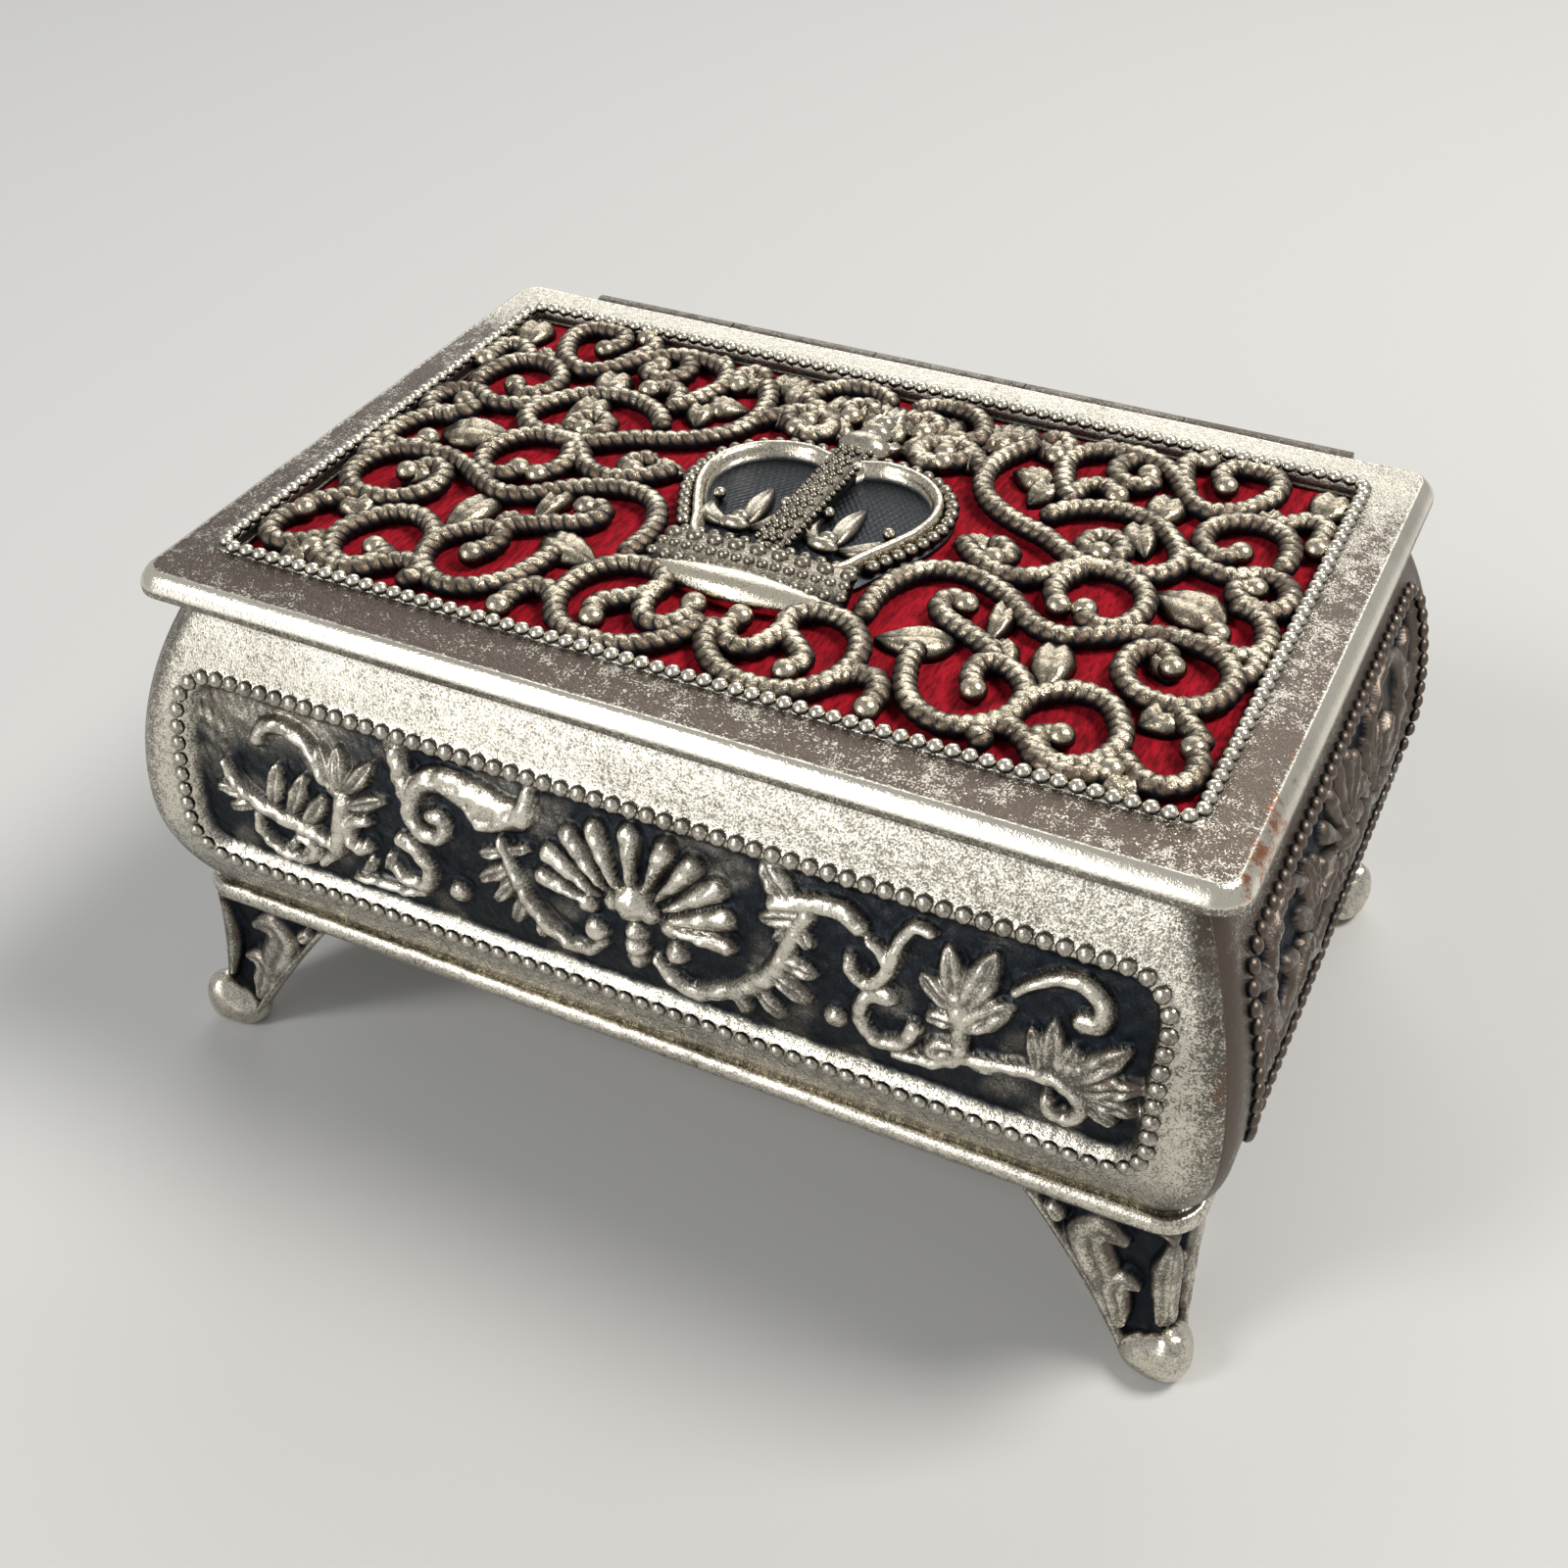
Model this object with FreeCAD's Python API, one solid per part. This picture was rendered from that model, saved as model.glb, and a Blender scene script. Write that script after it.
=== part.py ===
import FreeCAD, Part
import math
import os

# A footed trinket casket: swelling cast sides on bracket feet, and a hinged lid of pierced
# scrollwork round a raised crown. Millimetres, +Z up, front towards -Y, origin on the table
# under the middle of the box.

# Lid
lid_length = 100.0
lid_depth = 66.0
lid_corner = 3.0            # plan radius of the lid's corners
lid_edge = 1.05             # height of the upright edge face
lid_shoulder = 1.3          # round above the edge face
lid_step = 1.5              # how far in the crisp line above the shoulder lies
border_rise = 0.35          # slope of the plain border up to the beads
border_side = 5.6           # border width at the short ends, to the middle of the beads
border_long = 6.5           # border width at front and back, to the middle of the beads
bead_width = 1.1
bead_height = 0.75
lid_gap = 0.15              # lid's underside above the rim

# Lid filling
pocket_height = 1.65        # hollow under the border, for velvet, board and lining
pocket_wall = 4.0           # width of the rim round that hollow
velvet_thickness = 0.5
board_thickness = 0.6
lining_thickness = 0.4
sheet_gap = 0.05

# Pierced scrollwork and crown
wire_width = 1.7
wire_top = 1.85             # height of the scrollwork above its underside
scroll_ball = 1.1
panel_band = 0.9            # flat band that carries the scrolls along the border
crown_plate = 0.9
crown_rim_top = 2.6
crown_strap_top = 3.2
crown_rim_width = 1.7
crown_strap_width = 3.6
crown_bar_radius = 1.7
crown_bar_half = 9.6        # half length of the bar at the foot of the crown
crown_bar_y = -13.6
lobe_half_width = 6.5       # each arch is an egg of these half sizes
lobe_half_height = 9.6
lobe_lean = 76.0            # degrees from the lid's length to the egg's long axis
lobe_y = 1.9
band_top = -7.0             # upper edge of the jewelled band
band_half_top = 8.2
band_half_low = 9.4
orb_radius = 1.9
orb_y = 12.2

# Box walls
wall_height = 32.85
wall_thickness = 1.8
rim_inset = 3.4             # rim, in from the lid's edge
belly_out = 2.6             # widest swell, out from the lid's edge
belly_height = 11.0         # of the swell above the foot of the wall
wall_foot_inset = 0.8
wall_corner = 2.8           # round where two walls meet
frame_margin = 4.2          # plain corner beside the sunk panel
frame_below = 7.3           # plain wall under the sunk panel
frame_above = 7.2           # plain wall over the sunk panel
frame_corner = 3.5
panel_sink = 1.1
rail_width = 1.1            # bead rail round the sunk panel
rail_height = 0.35

# Base and feet
base_over = 0.9             # base moulding, out from the lid's edge at the ends
base_over_long = 0.3        # and at front and back
base_thickness = 2.6
base_corner = 4.0
base_nose = 1.2
base_hollow = 1.5           # depth of the hollow under the base
base_rim = 6.0              # width of the flat that the feet are soldered to
foot_height = 16.4
foot_length = 14.0
foot_thickness = 2.2
foot_inset = 0.3            # foot's face under the base, in from the lid's edge
toe_out = 1.1               # foot's face at the toe, out from the lid's edge
foot_hollow = 0.3           # how much the face curves in between
foot_scoop = 0.4            # how much the wing's lower edge curves in
toe_length = 3.6
toe_height = 0.8            # underside of the wings
toe_radius = 2.4
toe_centre = 2.15           # height of the ball's middle
toe_corner = 0.5            # ball's middle, out from the lid's corner

# Velvet lining of the box
pad_thickness = 1.0
pad_gap = 0.1
pad_drop = 0.6              # top of the side pads below the rim

# Hinge
hinge_length = 83.0
hinge_knuckles = 5
knuckle_radius = 1.2
knuckle_gap = 0.2
pin_radius = 0.55
pin_clearance = 0.05
leaf_thickness = 0.6
leaf_clearance = 0.1
barrel_gap = 0.3            # between the lid's back edge and the barrel

# Levels and half sizes that follow from the above
half_length = lid_length / 2
half_depth = lid_depth / 2
base_z = foot_height
wall_z = base_z + base_thickness
rim_z = wall_z + wall_height
belly_z = wall_z + belly_height
lid_z = rim_z + lid_gap
shoulder_z = lid_z + lid_edge + lid_shoulder
border_z = shoulder_z + border_rise
pocket_z = lid_z + pocket_height
bead_half_x = half_length - border_side
bead_half_y = half_depth - border_long
panel_half_x = bead_half_x - bead_width / 2 - sheet_gap
panel_half_y = bead_half_y - bead_width / 2 - sheet_gap
hinge_y = half_depth + barrel_gap + knuckle_radius
hinge_z = lid_z + leaf_thickness / 3
far = 20.0                  # reach of cutting blocks past the piece they cut

# Right half of the scrollwork in plan, drawn for a panel of these half sizes and stretched to
# the real one. Each scroll runs through its points.
drawn_half_x = 43.85
drawn_half_y = 24.65
scrolls = {
    "lower loop": [(-0.6, -15.0), (1.0, -22.6), (8.0, -25.2), (13.6, -21.0), (12.0, -14.6),
                   (7.2, -14.8), (5.8, -19.0), (2.6, -20.4), (2.3, -17.6)],
    "ring": [(17.7, -12.5), (18.4, -20.8), (24.0, -22.4), (26.8, -17.6), (23.6, -14.8),
             (23.6, -18.4)],
    "arch": [(11.2, -13.1), (12.0, -5.9), (17.4, -3.2), (23.0, -6.2), (29.0, -7.2), (37.0, -5.0),
             (41.3, -9.4), (36.8, -12.8), (33.6, -9.6), (36.4, -8.8)],
    "arch curl": [(23.6, -14.4), (18.9, -10.5), (16.8, -8.4), (18.9, -7.4)],
    "corner curl": [(27.6, -20.0), (32.3, -15.3), (36.4, -20.0), (32.4, -24.6), (30.4, -22.0),
                    (32.2, -20.8)],
    "end wave": [(33.2, 8.6), (37.0, 6.4), (42.0, 6.4), (40.2, 2.5), (38.6, 4.8)],
    "end curl": [(41.6, 7.6), (39.7, 14.1), (34.0, 13.4), (35.0, 9.2), (37.4, 10.4)],
    "top wave": [(33.5, 24.2), (36.7, 19.6), (32.2, 15.9), (26.8, 21.4), (20.0, 21.5),
                 (18.6, 17.0), (20.6, 13.2)],
    "long stem": [(13.8, 20.4), (12.0, 12.3), (17.0, 7.6), (26.0, 2.4), (32.2, -1.2),
                  (31.4, -4.6)],
    "middle curl": [(20.4, 8.4), (27.2, 11.7), (33.0, 6.8), (28.2, 3.3), (24.7, 6.6),
                    (26.6, 7.4)],
    "crest bow": [(12.8, 18.4), (8.0, 21.0), (3.4, 18.0), (0.0, 24.4)],
}
ball_scrolls = ("ring", "arch")

# Right half of the leaves: base, tip and width.
leaves = [
    ((17.6, -12.4), (13.4, -14.4), 2.6),
    ((27.2, -7.2), (28.2, -15.6), 2.6),
    ((27.4, 20.6), (28.6, 11.6), 2.8),
    ((18.5, 16.8), (17.2, 9.0), 2.8),
    ((41.2, 24.6), (41.3, 13.0), 2.8),
    ((32.4, 0.0), (43.6, -0.6), 2.8),
]


def vec(x, y, z=0.0):
    return FreeCAD.Vector(x, y, z)


def line(start, end):
    return Part.LineSegment(start, end).toShape()


def arc(start, middle, end):
    return Part.Arc(start, middle, end).toShape()


def box(x0, x1, y0, y1, z0, z1):
    return Part.makeBox(x1 - x0, y1 - y0, z1 - z0, vec(x0, y0, z0))


def rounded_wire(half_x, half_y, radius, z):
    """Rectangle with round corners, centred on the Z axis."""
    flat_x = half_x - radius
    flat_y = half_y - radius
    bend = radius * math.sqrt(0.5)
    edges = []
    for turn in range(4):
        angle = 90.0 * turn
        run, reach = (flat_x, half_y) if turn % 2 == 0 else (flat_y, half_x)
        depth = flat_y if turn % 2 == 0 else flat_x
        side = line(vec(-run, -reach, z), vec(run, -reach, z))
        corner = arc(vec(run, -reach, z), vec(run + bend, -depth - bend, z),
                     vec(run + radius, -depth, z))
        for edge in (side, corner):
            edge.rotate(vec(0, 0), vec(0, 0, 1), angle)
            edges.append(edge)
    return Part.Wire(edges)


def slab(half_x, half_y, radius, z0, z1):
    face = Part.Face(rounded_wire(half_x, half_y, radius, z0))
    return face.extrude(vec(0, 0, z1 - z0))


def outer_edges(shape, z, half_x, half_y):
    """Edges at height z on the outline of a slab."""
    found = []
    for edge in shape.Edges:
        bound = edge.BoundBox
        flat = abs(bound.ZMin - z) < 1e-4 and abs(bound.ZMax - z) < 1e-4
        reach = max(bound.XMax - half_x, -half_x - bound.XMin,
                    bound.YMax - half_y, -half_y - bound.YMin)
        if flat and reach > -1e-4:
            found.append(edge)
    return found


def mirrored(shape):
    return shape.mirror(vec(0, 0), vec(1, 0, 0))


def swell(z):
    """Outward reach of the wall at height z: two arcs that meet upright at the belly."""
    if z >= belly_z:
        fall, drop = belly_out + rim_inset, rim_z - belly_z
    else:
        fall, drop = belly_out + wall_foot_inset, belly_z - wall_z
    radius = (fall * fall + drop * drop) / (2 * fall)
    return belly_out - radius + math.sqrt(radius * radius - (z - belly_z) ** 2)


def swell_edges(distance, inset, z0, z1):
    """The wall's curve from z0 up to z1, moved in by inset, on the front side."""
    def point(z):
        return vec(0, -(distance + swell(z) - inset), z)
    edges = []
    for low, high in ((z0, belly_z), (belly_z, z1)):
        edges.append(arc(point(low), point((low + high) / 2), point(high)))
    return edges, point(z0), point(z1)


def swell_band(distance, run, inset0, inset1, z0, z1):
    """A bar of the wall's curved section, between two insets, lying along X."""
    outer, outer_low, outer_high = swell_edges(distance, inset0, z0, z1)
    inner, inner_low, inner_high = swell_edges(distance, inset1, z0, z1)
    edges = outer + [line(outer_high, inner_high)] + inner + [line(inner_low, outer_low)]
    face = Part.Face(Part.Wire(Part.__sortEdges__(edges)))
    face.translate(vec(-run, 0))
    return face.extrude(vec(2 * run, 0))


def mitre_block(distance, run, z0, z1):
    """Block that keeps a front bar inside its 45 degree mitres."""
    back = 0.6 * min(distance, run)
    corners = [vec(-(run + far), -(distance + far), z0), vec(run + far, -(distance + far), z0),
               vec(run - back, -(distance - back), z0), vec(-(run - back), -(distance - back), z0)]
    face = Part.Face(Part.makePolygon(corners + corners[:1]))
    return face.extrude(vec(0, 0, z1 - z0))


def upright_prism(half_x, radius, z0, z1, distance):
    """Round-cornered window seen from the front, reaching through the wall."""
    middle = (z0 + z1) / 2
    face = Part.Face(rounded_wire(half_x, (z1 - z0) / 2, radius, 0))
    face.rotate(vec(0, 0), vec(1, 0, 0), 90)
    face.translate(vec(0, -distance - far, middle))
    return face.extrude(vec(0, 2 * far))


def wall_plate(distance, run):
    plate = swell_band(distance, run + far, 0, wall_thickness, wall_z, rim_z)
    return plate.common(mitre_block(distance, run, wall_z, rim_z))


def wall_ring():
    """The four plain sides together, with the arrises between them rounded."""
    long_plate = wall_plate(half_depth, half_length)
    end_plate = wall_plate(half_length, half_depth)
    ring = long_plate.fuse([turned(long_plate, 180), turned(end_plate, 90), turned(end_plate, 270)])
    ring = ring.removeSplitter()
    arrises = []
    for edge in ring.Edges:
        point = edge.valueAt((edge.FirstParameter + edge.LastParameter) / 2)
        reach = swell(min(max(point.z, wall_z), rim_z))
        if abs(abs(point.x) - half_length - reach) + abs(abs(point.y) - half_depth - reach) < 1e-3:
            arrises.append(edge)
    return ring.makeFillet(wall_corner, arrises)


def wall_frame(distance, run):
    """What the sunk panel takes out of a front side, and the bead rail round it."""
    reach = run + far
    panel_low = wall_z + frame_below
    panel_high = rim_z - frame_above
    half_panel = run - frame_margin
    window = upright_prism(half_panel, frame_corner, panel_low, panel_high, distance)
    rail_outline = upright_prism(half_panel + rail_width, frame_corner + rail_width,
                                 panel_low - rail_width, panel_high + rail_width, distance)
    rail = swell_band(distance, reach, -rail_height, panel_sink, wall_z, rim_z)
    rail = rail.common(rail_outline.cut(window))
    floor = swell_band(distance, reach, panel_sink, wall_thickness + far / 2, wall_z, rim_z)
    return window.cut(floor), rail


def wall(ring, distance, run, angle):
    """A cast side: its length of the ring between the mitres, with sunk panel and bead rail."""
    hollow, rail = wall_frame(distance, run)
    plate = ring.common(turned(mitre_block(distance, run, wall_z, rim_z), angle))
    return plate.cut(turned(hollow, angle)).fuse(turned(rail, angle)).removeSplitter()


def side_pad(distance, run):
    """Velvet pad that lines a side, following its swell."""
    outer = wall_thickness + pad_gap
    low = wall_z + pad_thickness + pad_gap
    high = rim_z - pad_drop
    pad = swell_band(distance, run + far, outer, outer + pad_thickness, low, high)
    return pad.common(mitre_block(distance, run, wall_z, rim_z))


def turned(shape, angle):
    copy = shape.copy()
    copy.rotate(vec(0, 0), vec(0, 0, 1), angle)
    return copy


def base_plate():
    half_x = half_length + base_over
    half_y = half_depth + base_over_long
    plate = slab(half_x, half_y, base_corner, base_z, wall_z)
    plate = plate.makeFillet(base_nose, outer_edges(plate, wall_z, half_x, half_y))
    hollow = slab(half_x - base_rim, half_y - base_rim, base_corner, base_z - far,
                  base_z + base_hollow)
    return plate.cut(hollow)


def foot_wing(distance, run):
    """One wing of a bracket foot, at the right-hand end of a front side."""
    def face_point(z):
        share = (foot_height - z) / (foot_height - toe_height)
        curve = 4 * foot_hollow * share * (1 - share)
        return -foot_inset + (toe_out + foot_inset) * share - curve
    heights = (toe_height, (toe_height + foot_height) / 2, foot_height)
    outer = [vec(0, -(distance + face_point(z)), z) for z in heights]
    inner = [point + vec(0, foot_thickness) for point in outer]
    edges = [arc(*outer), line(outer[2], inner[2]), arc(*inner), line(inner[0], outer[0])]
    band = Part.Face(Part.Wire(Part.__sortEdges__(edges)))
    band = band.extrude(vec(run + far, 0))
    top_in = vec(run - foot_length, 0, foot_height)
    toe_in = vec(run - toe_length, 0, toe_height)
    slope = unit(toe_in - top_in)
    sag = (top_in + toe_in) * 0.5 + vec(-slope.z, 0, slope.x) * foot_scoop
    outline = [line(vec(run + far, 0, foot_height), top_in), arc(top_in, sag, toe_in),
               line(toe_in, vec(run + far, 0, toe_height)),
               line(vec(run + far, 0, toe_height), vec(run + far, 0, foot_height))]
    silhouette = Part.Face(Part.Wire(outline))
    silhouette.translate(vec(0, -distance - far))
    silhouette = silhouette.extrude(vec(0, 2 * far))
    return band.common(silhouette).common(mitre_block(distance, run, 0, foot_height))


def foot():
    """Front right foot: two mitred wings and a ball toe with a flat under it."""
    front = foot_wing(half_depth, half_length)
    side = turned(mirrored(foot_wing(half_length, half_depth)), 90)
    toe = Part.makeSphere(toe_radius, vec(half_length + toe_corner, -(half_depth + toe_corner),
                                          toe_centre))
    toe = toe.common(box(0, 2 * lid_length, -2 * lid_length, 0, 0, foot_height))
    return front.fuse([side, toe]).removeSplitter()


def lid_frame():
    """Lid border: upright edge, round shoulder, sloping border, bead rail, hollow underneath."""
    frame = slab(half_length, half_depth, lid_corner, lid_z, shoulder_z)
    frame = frame.makeFillet(lid_shoulder, outer_edges(frame, shoulder_z, half_length, half_depth))
    half_bead = bead_width / 2
    low = rounded_wire(half_length - lid_step, half_depth - lid_step, lid_corner - lid_step,
                       shoulder_z)
    high = rounded_wire(bead_half_x + half_bead, bead_half_y + half_bead, lid_corner - lid_step,
                        border_z)
    frame = frame.fuse(Part.makeLoft([low, high], True, True))
    rail = slab(bead_half_x + half_bead, bead_half_y + half_bead, bead_width, shoulder_z,
                border_z + bead_height)
    frame = frame.fuse(rail)
    opening = slab(bead_half_x - half_bead, bead_half_y - half_bead, bead_width / 2, lid_z - far,
                   border_z + far)
    pocket = slab(half_length - pocket_wall, half_depth - pocket_wall, lid_corner, lid_z - far,
                  pocket_z)
    rebate = box(-hinge_length / 2 - leaf_clearance, hinge_length / 2 + leaf_clearance,
                 half_depth - pocket_wall - 1, half_depth + far, lid_z - far,
                 lid_z + leaf_thickness)
    return frame.cut(opening).cut(pocket).cut(rebate).removeSplitter()


def lid_sheet(top, thickness):
    half_x = half_length - pocket_wall - sheet_gap
    half_y = half_depth - pocket_wall - sheet_gap
    return slab(half_x, half_y, lid_corner, top - thickness, top)


def unit(vector):
    return vector * (1 / vector.Length)


def side_of(vector):
    """Unit vector to the left of a direction in plan."""
    return unit(vec(-vector.y, vector.x))


def arc_run(start, heading, end):
    """Points and headings of the arc that leaves start along heading and reaches end."""
    chord = end - start
    bisector = unit(heading + unit(chord))
    reach = chord.Length / 2 / bisector.dot(unit(chord))
    leaving = unit(chord) * (2 * heading.dot(unit(chord))) - heading
    return [(start, heading), (start + bisector * reach, unit(chord)), (end, leaving)]


def scroll_arcs(path):
    """One arc from each point of a scroll to the next, each leaving as the last arrived.

    The first heading is free: it is the one that keeps the others nearest to the mean of
    the chords on either side of their point.
    """
    chords = [math.atan2(b.y - a.y, b.x - a.x) for a, b in zip(path, path[1:])]
    for i in range(1, len(chords)):
        chords[i] -= 2 * math.pi * round((chords[i] - chords[i - 1]) / (2 * math.pi))
    heading = chords[0]
    misses = []
    for i in range(1, len(chords)):
        heading = 2 * chords[i - 1] - heading
        misses.append((-1) ** i * ((chords[i - 1] + chords[i]) / 2 - heading))
    angle = chords[0] + sum(misses) / len(misses)
    heading = vec(math.cos(angle), math.sin(angle))
    runs = []
    for start, end in zip(path, path[1:]):
        runs.append(arc_run(start, heading, end))
        heading = runs[-1][2][1]
    return runs


def on_panel(point):
    """Point of the drawn plan, moved to the real panel."""
    return vec(point[0] * panel_half_x / drawn_half_x, point[1] * panel_half_y / drawn_half_y,
               pocket_z)


def span_face(run):
    """Flat band of the wire's width along one arc, or along a line where it is straight."""
    half = wire_width / 2
    (start, heading), (middle, _), (end, _) = run
    chord = end - start
    bulge = side_of(chord).dot(middle - start)
    outward = half if bulge > 0 else -half
    outer = [point + side_of(way) * outward for point, way in run]
    inner = [point - side_of(way) * outward for point, way in run]
    if abs(bulge) < 1e-3:
        corners = [outer[0], outer[2], inner[2], inner[0]]
        return Part.Face(Part.makePolygon(corners + corners[:1]))
    radius = (chord.Length ** 2 / 4 + bulge ** 2) / (2 * abs(bulge))
    if radius > 1.1 * half:
        edges = [arc(*outer), line(outer[2], inner[2]), arc(*inner), line(inner[0], outer[0])]
    else:
        centre = start - side_of(heading) * (radius * outward / half)
        edges = [arc(*outer), line(outer[2], centre), line(centre, outer[0])]
    return Part.Face(Part.Wire(Part.__sortEdges__(edges)))


def end_face(point, heading):
    """Half disc that rounds the end of a wire, beyond point."""
    side = side_of(heading) * (wire_width / 2)
    tip = point + heading * (wire_width / 2)
    edges = [arc(point + side, tip, point - side), line(point - side, point + side)]
    return Part.Face(Part.Wire(edges))


def scroll_band(points):
    """Flat bands of even width that follow a scroll, span by span, with round ends."""
    runs = scroll_arcs([on_panel(point) for point in points])
    faces = [span_face(run) for run in runs]
    first_point, first_heading = runs[0][0]
    faces.append(end_face(first_point, first_heading * -1))
    faces.append(end_face(*runs[-1][2]))
    return [face.extrude(vec(0, 0, wire_top)) for face in faces]


def leaf(base, tip, width):
    start = on_panel(base)
    end = on_panel(tip)
    along = end - start
    across = vec(-along.y, along.x)
    across.normalize()
    middle = start + along * 0.45
    edges = [arc(start, middle + across * (width / 2), end),
             arc(end, middle - across * (width / 2), start)]
    return Part.Face(Part.Wire(edges)).extrude(vec(0, 0, wire_top))


def filigree(crown_outline):
    """Pierced panel: mirrored scrolls, their balls and leaves, and the band round the edge."""
    outside = slab(panel_half_x, panel_half_y, bead_width / 2, pocket_z, pocket_z + wire_top)
    inside = slab(panel_half_x - panel_band, panel_half_y - panel_band, bead_width / 2,
                  pocket_z - far, pocket_z + far)
    pieces = []
    for name, points in scrolls.items():
        pieces += scroll_band(points)
        if name in ball_scrolls:
            pieces.append(Part.makeCylinder(scroll_ball, wire_top, on_panel(points[-1])))
    pieces += [leaf(*each) for each in leaves]
    half = pieces[0].fuse(pieces[1:])
    panel = outside.cut(inside).fuse([half, mirrored(half)])
    return panel.common(outside).cut(crown_outline).removeSplitter()


def crown_lobe(inset):
    """Right arch of the crown: an egg that leans outwards, moved in by inset."""
    middle = vec(lobe_half_width, lobe_y)
    edge = Part.Ellipse(middle, lobe_half_height - inset, lobe_half_width - inset).toShape()
    edge.rotate(middle, vec(0, 0, 1), lobe_lean)
    return Part.Face(Part.Wire(edge))


def crown_band(inset):
    """Jewelled band under the arches."""
    low = crown_bar_y + crown_bar_radius / 2
    corners = [vec(-band_half_top + inset, band_top), vec(band_half_top - inset, band_top),
               vec(band_half_low - inset, low), vec(-band_half_low + inset, low)]
    return Part.Face(Part.makePolygon(corners + corners[:1]))


def raised(face, low, high):
    """Face lifted off the underside of the scrollwork and thickened between two heights."""
    copy = face.copy()
    copy.translate(vec(0, 0, pocket_z + low))
    return copy.extrude(vec(0, 0, high - low))


def crown_bar():
    """Barrel-shaped bar along the foot of the crown, turned from an arc."""
    end = 0.5 * crown_bar_radius
    left = vec(-crown_bar_half, end)
    right = vec(crown_bar_half, end)
    profile = [arc(left, vec(0, crown_bar_radius), right), line(right, vec(crown_bar_half, 0)),
               line(vec(crown_bar_half, 0), vec(-crown_bar_half, 0)),
               line(vec(-crown_bar_half, 0), left)]
    bar = Part.Face(Part.Wire(profile)).revolve(vec(0, 0), vec(1, 0, 0), 360)
    bar.translate(vec(0, crown_bar_y, pocket_z + 0.6 * crown_bar_radius))
    return bar


def crown():
    """Crown in relief: sunk ground, two arch rims, strap, jewelled band, base bar and orb."""
    lobe = crown_lobe(0)
    ring = lobe.cut(crown_lobe(crown_rim_width))
    half_strap = crown_strap_width / 2
    strap = box(-half_strap, half_strap, band_top, orb_y, pocket_z, pocket_z + crown_strap_top)
    strap_edges = [edge for edge in strap.Edges
                   if edge.BoundBox.ZMin > pocket_z + crown_strap_top - 1e-4
                   and edge.BoundBox.YLength > half_strap]
    strap = strap.makeFillet(half_strap / 2, strap_edges)
    above = box(-lid_length, lid_length, -lid_depth, lid_depth, pocket_z, pocket_z + far)
    orb = Part.makeSphere(orb_radius, vec(0, orb_y, pocket_z + 0.6 * orb_radius)).common(above)
    solids = [raised(lobe, 0, crown_plate), mirrored(raised(lobe, 0, crown_plate)),
              raised(ring, 0, crown_rim_top), mirrored(raised(ring, 0, crown_rim_top)),
              raised(crown_band(0), 0, crown_rim_top), crown_bar().common(above), orb]
    return strap.fuse(solids).removeSplitter()


def crown_outline():
    """Space that the crown takes out of the scrollwork."""
    lobe = crown_lobe(-sheet_gap)
    bar_half = crown_bar_half + sheet_gap
    bar = box(-bar_half, bar_half, crown_bar_y - crown_bar_radius - sheet_gap,
              crown_bar_y + crown_bar_radius, pocket_z - far, pocket_z + far)
    orb = Part.makeCylinder(orb_radius + sheet_gap, 2 * far, vec(0, orb_y, pocket_z - far))
    strap_half = crown_strap_width / 2 + sheet_gap
    strap = box(-strap_half, strap_half, band_top, orb_y, pocket_z - far, pocket_z + far)
    lobes = [raised(lobe, -far, far), mirrored(raised(lobe, -far, far))]
    return strap.fuse(lobes + [raised(crown_band(-sheet_gap), -far, far), bar, orb])


def hinge_leaf(inner_y, z0, knuckles):
    """Flat leaf with tongues out to its own knuckles, bored for the pin."""
    outer_y = hinge_y - knuckle_radius - leaf_clearance
    start = -hinge_length / 2
    pitch = hinge_length / hinge_knuckles
    leaf_plate = box(start, -start, inner_y, outer_y, z0, z0 + leaf_thickness)
    solids = []
    for index in knuckles:
        x0 = start + index * pitch + knuckle_gap / 2
        x1 = start + (index + 1) * pitch - knuckle_gap / 2
        solids.append(box(x0, x1, outer_y, hinge_y, z0, z0 + leaf_thickness))
        solids.append(Part.makeCylinder(knuckle_radius, x1 - x0, vec(x0, hinge_y, hinge_z),
                                        vec(1, 0, 0)))
    bore = Part.makeCylinder(pin_radius + pin_clearance, hinge_length + far,
                             vec(start - far / 2, hinge_y, hinge_z), vec(1, 0, 0))
    return leaf_plate.fuse(solids).cut(bore).removeSplitter()


def body_walls():
    ring = wall_ring()
    back = wall(ring, half_depth, half_length, 180)
    rebate = box(-hinge_length / 2 - leaf_clearance, hinge_length / 2 + leaf_clearance, 0,
                 half_depth + far, rim_z - leaf_thickness, rim_z + far)
    return {"front_wall": wall(ring, half_depth, half_length, 0), "back_wall": back.cut(rebate),
            "right_wall": wall(ring, half_length, half_depth, 90),
            "left_wall": wall(ring, half_length, half_depth, 270)}


def box_lining():
    long_pad = side_pad(half_depth, half_length)
    end_pad = side_pad(half_length, half_depth)
    edge = wall_foot_inset + wall_thickness + pad_gap
    floor = slab(half_length - edge, half_depth - edge, lid_corner, wall_z, wall_z + pad_thickness)
    return {"lining_front": long_pad, "lining_back": turned(long_pad, 180),
            "lining_right": turned(end_pad, 90), "lining_left": turned(end_pad, 270),
            "lining_floor": floor}


def feet():
    front_right = foot()
    front_left = mirrored(front_right)
    return {"foot_front_right": front_right, "foot_front_left": front_left,
            "foot_back_right": front_right.mirror(vec(0, 0), vec(0, 1, 0)),
            "foot_back_left": front_left.mirror(vec(0, 0), vec(0, 1, 0))}


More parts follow.
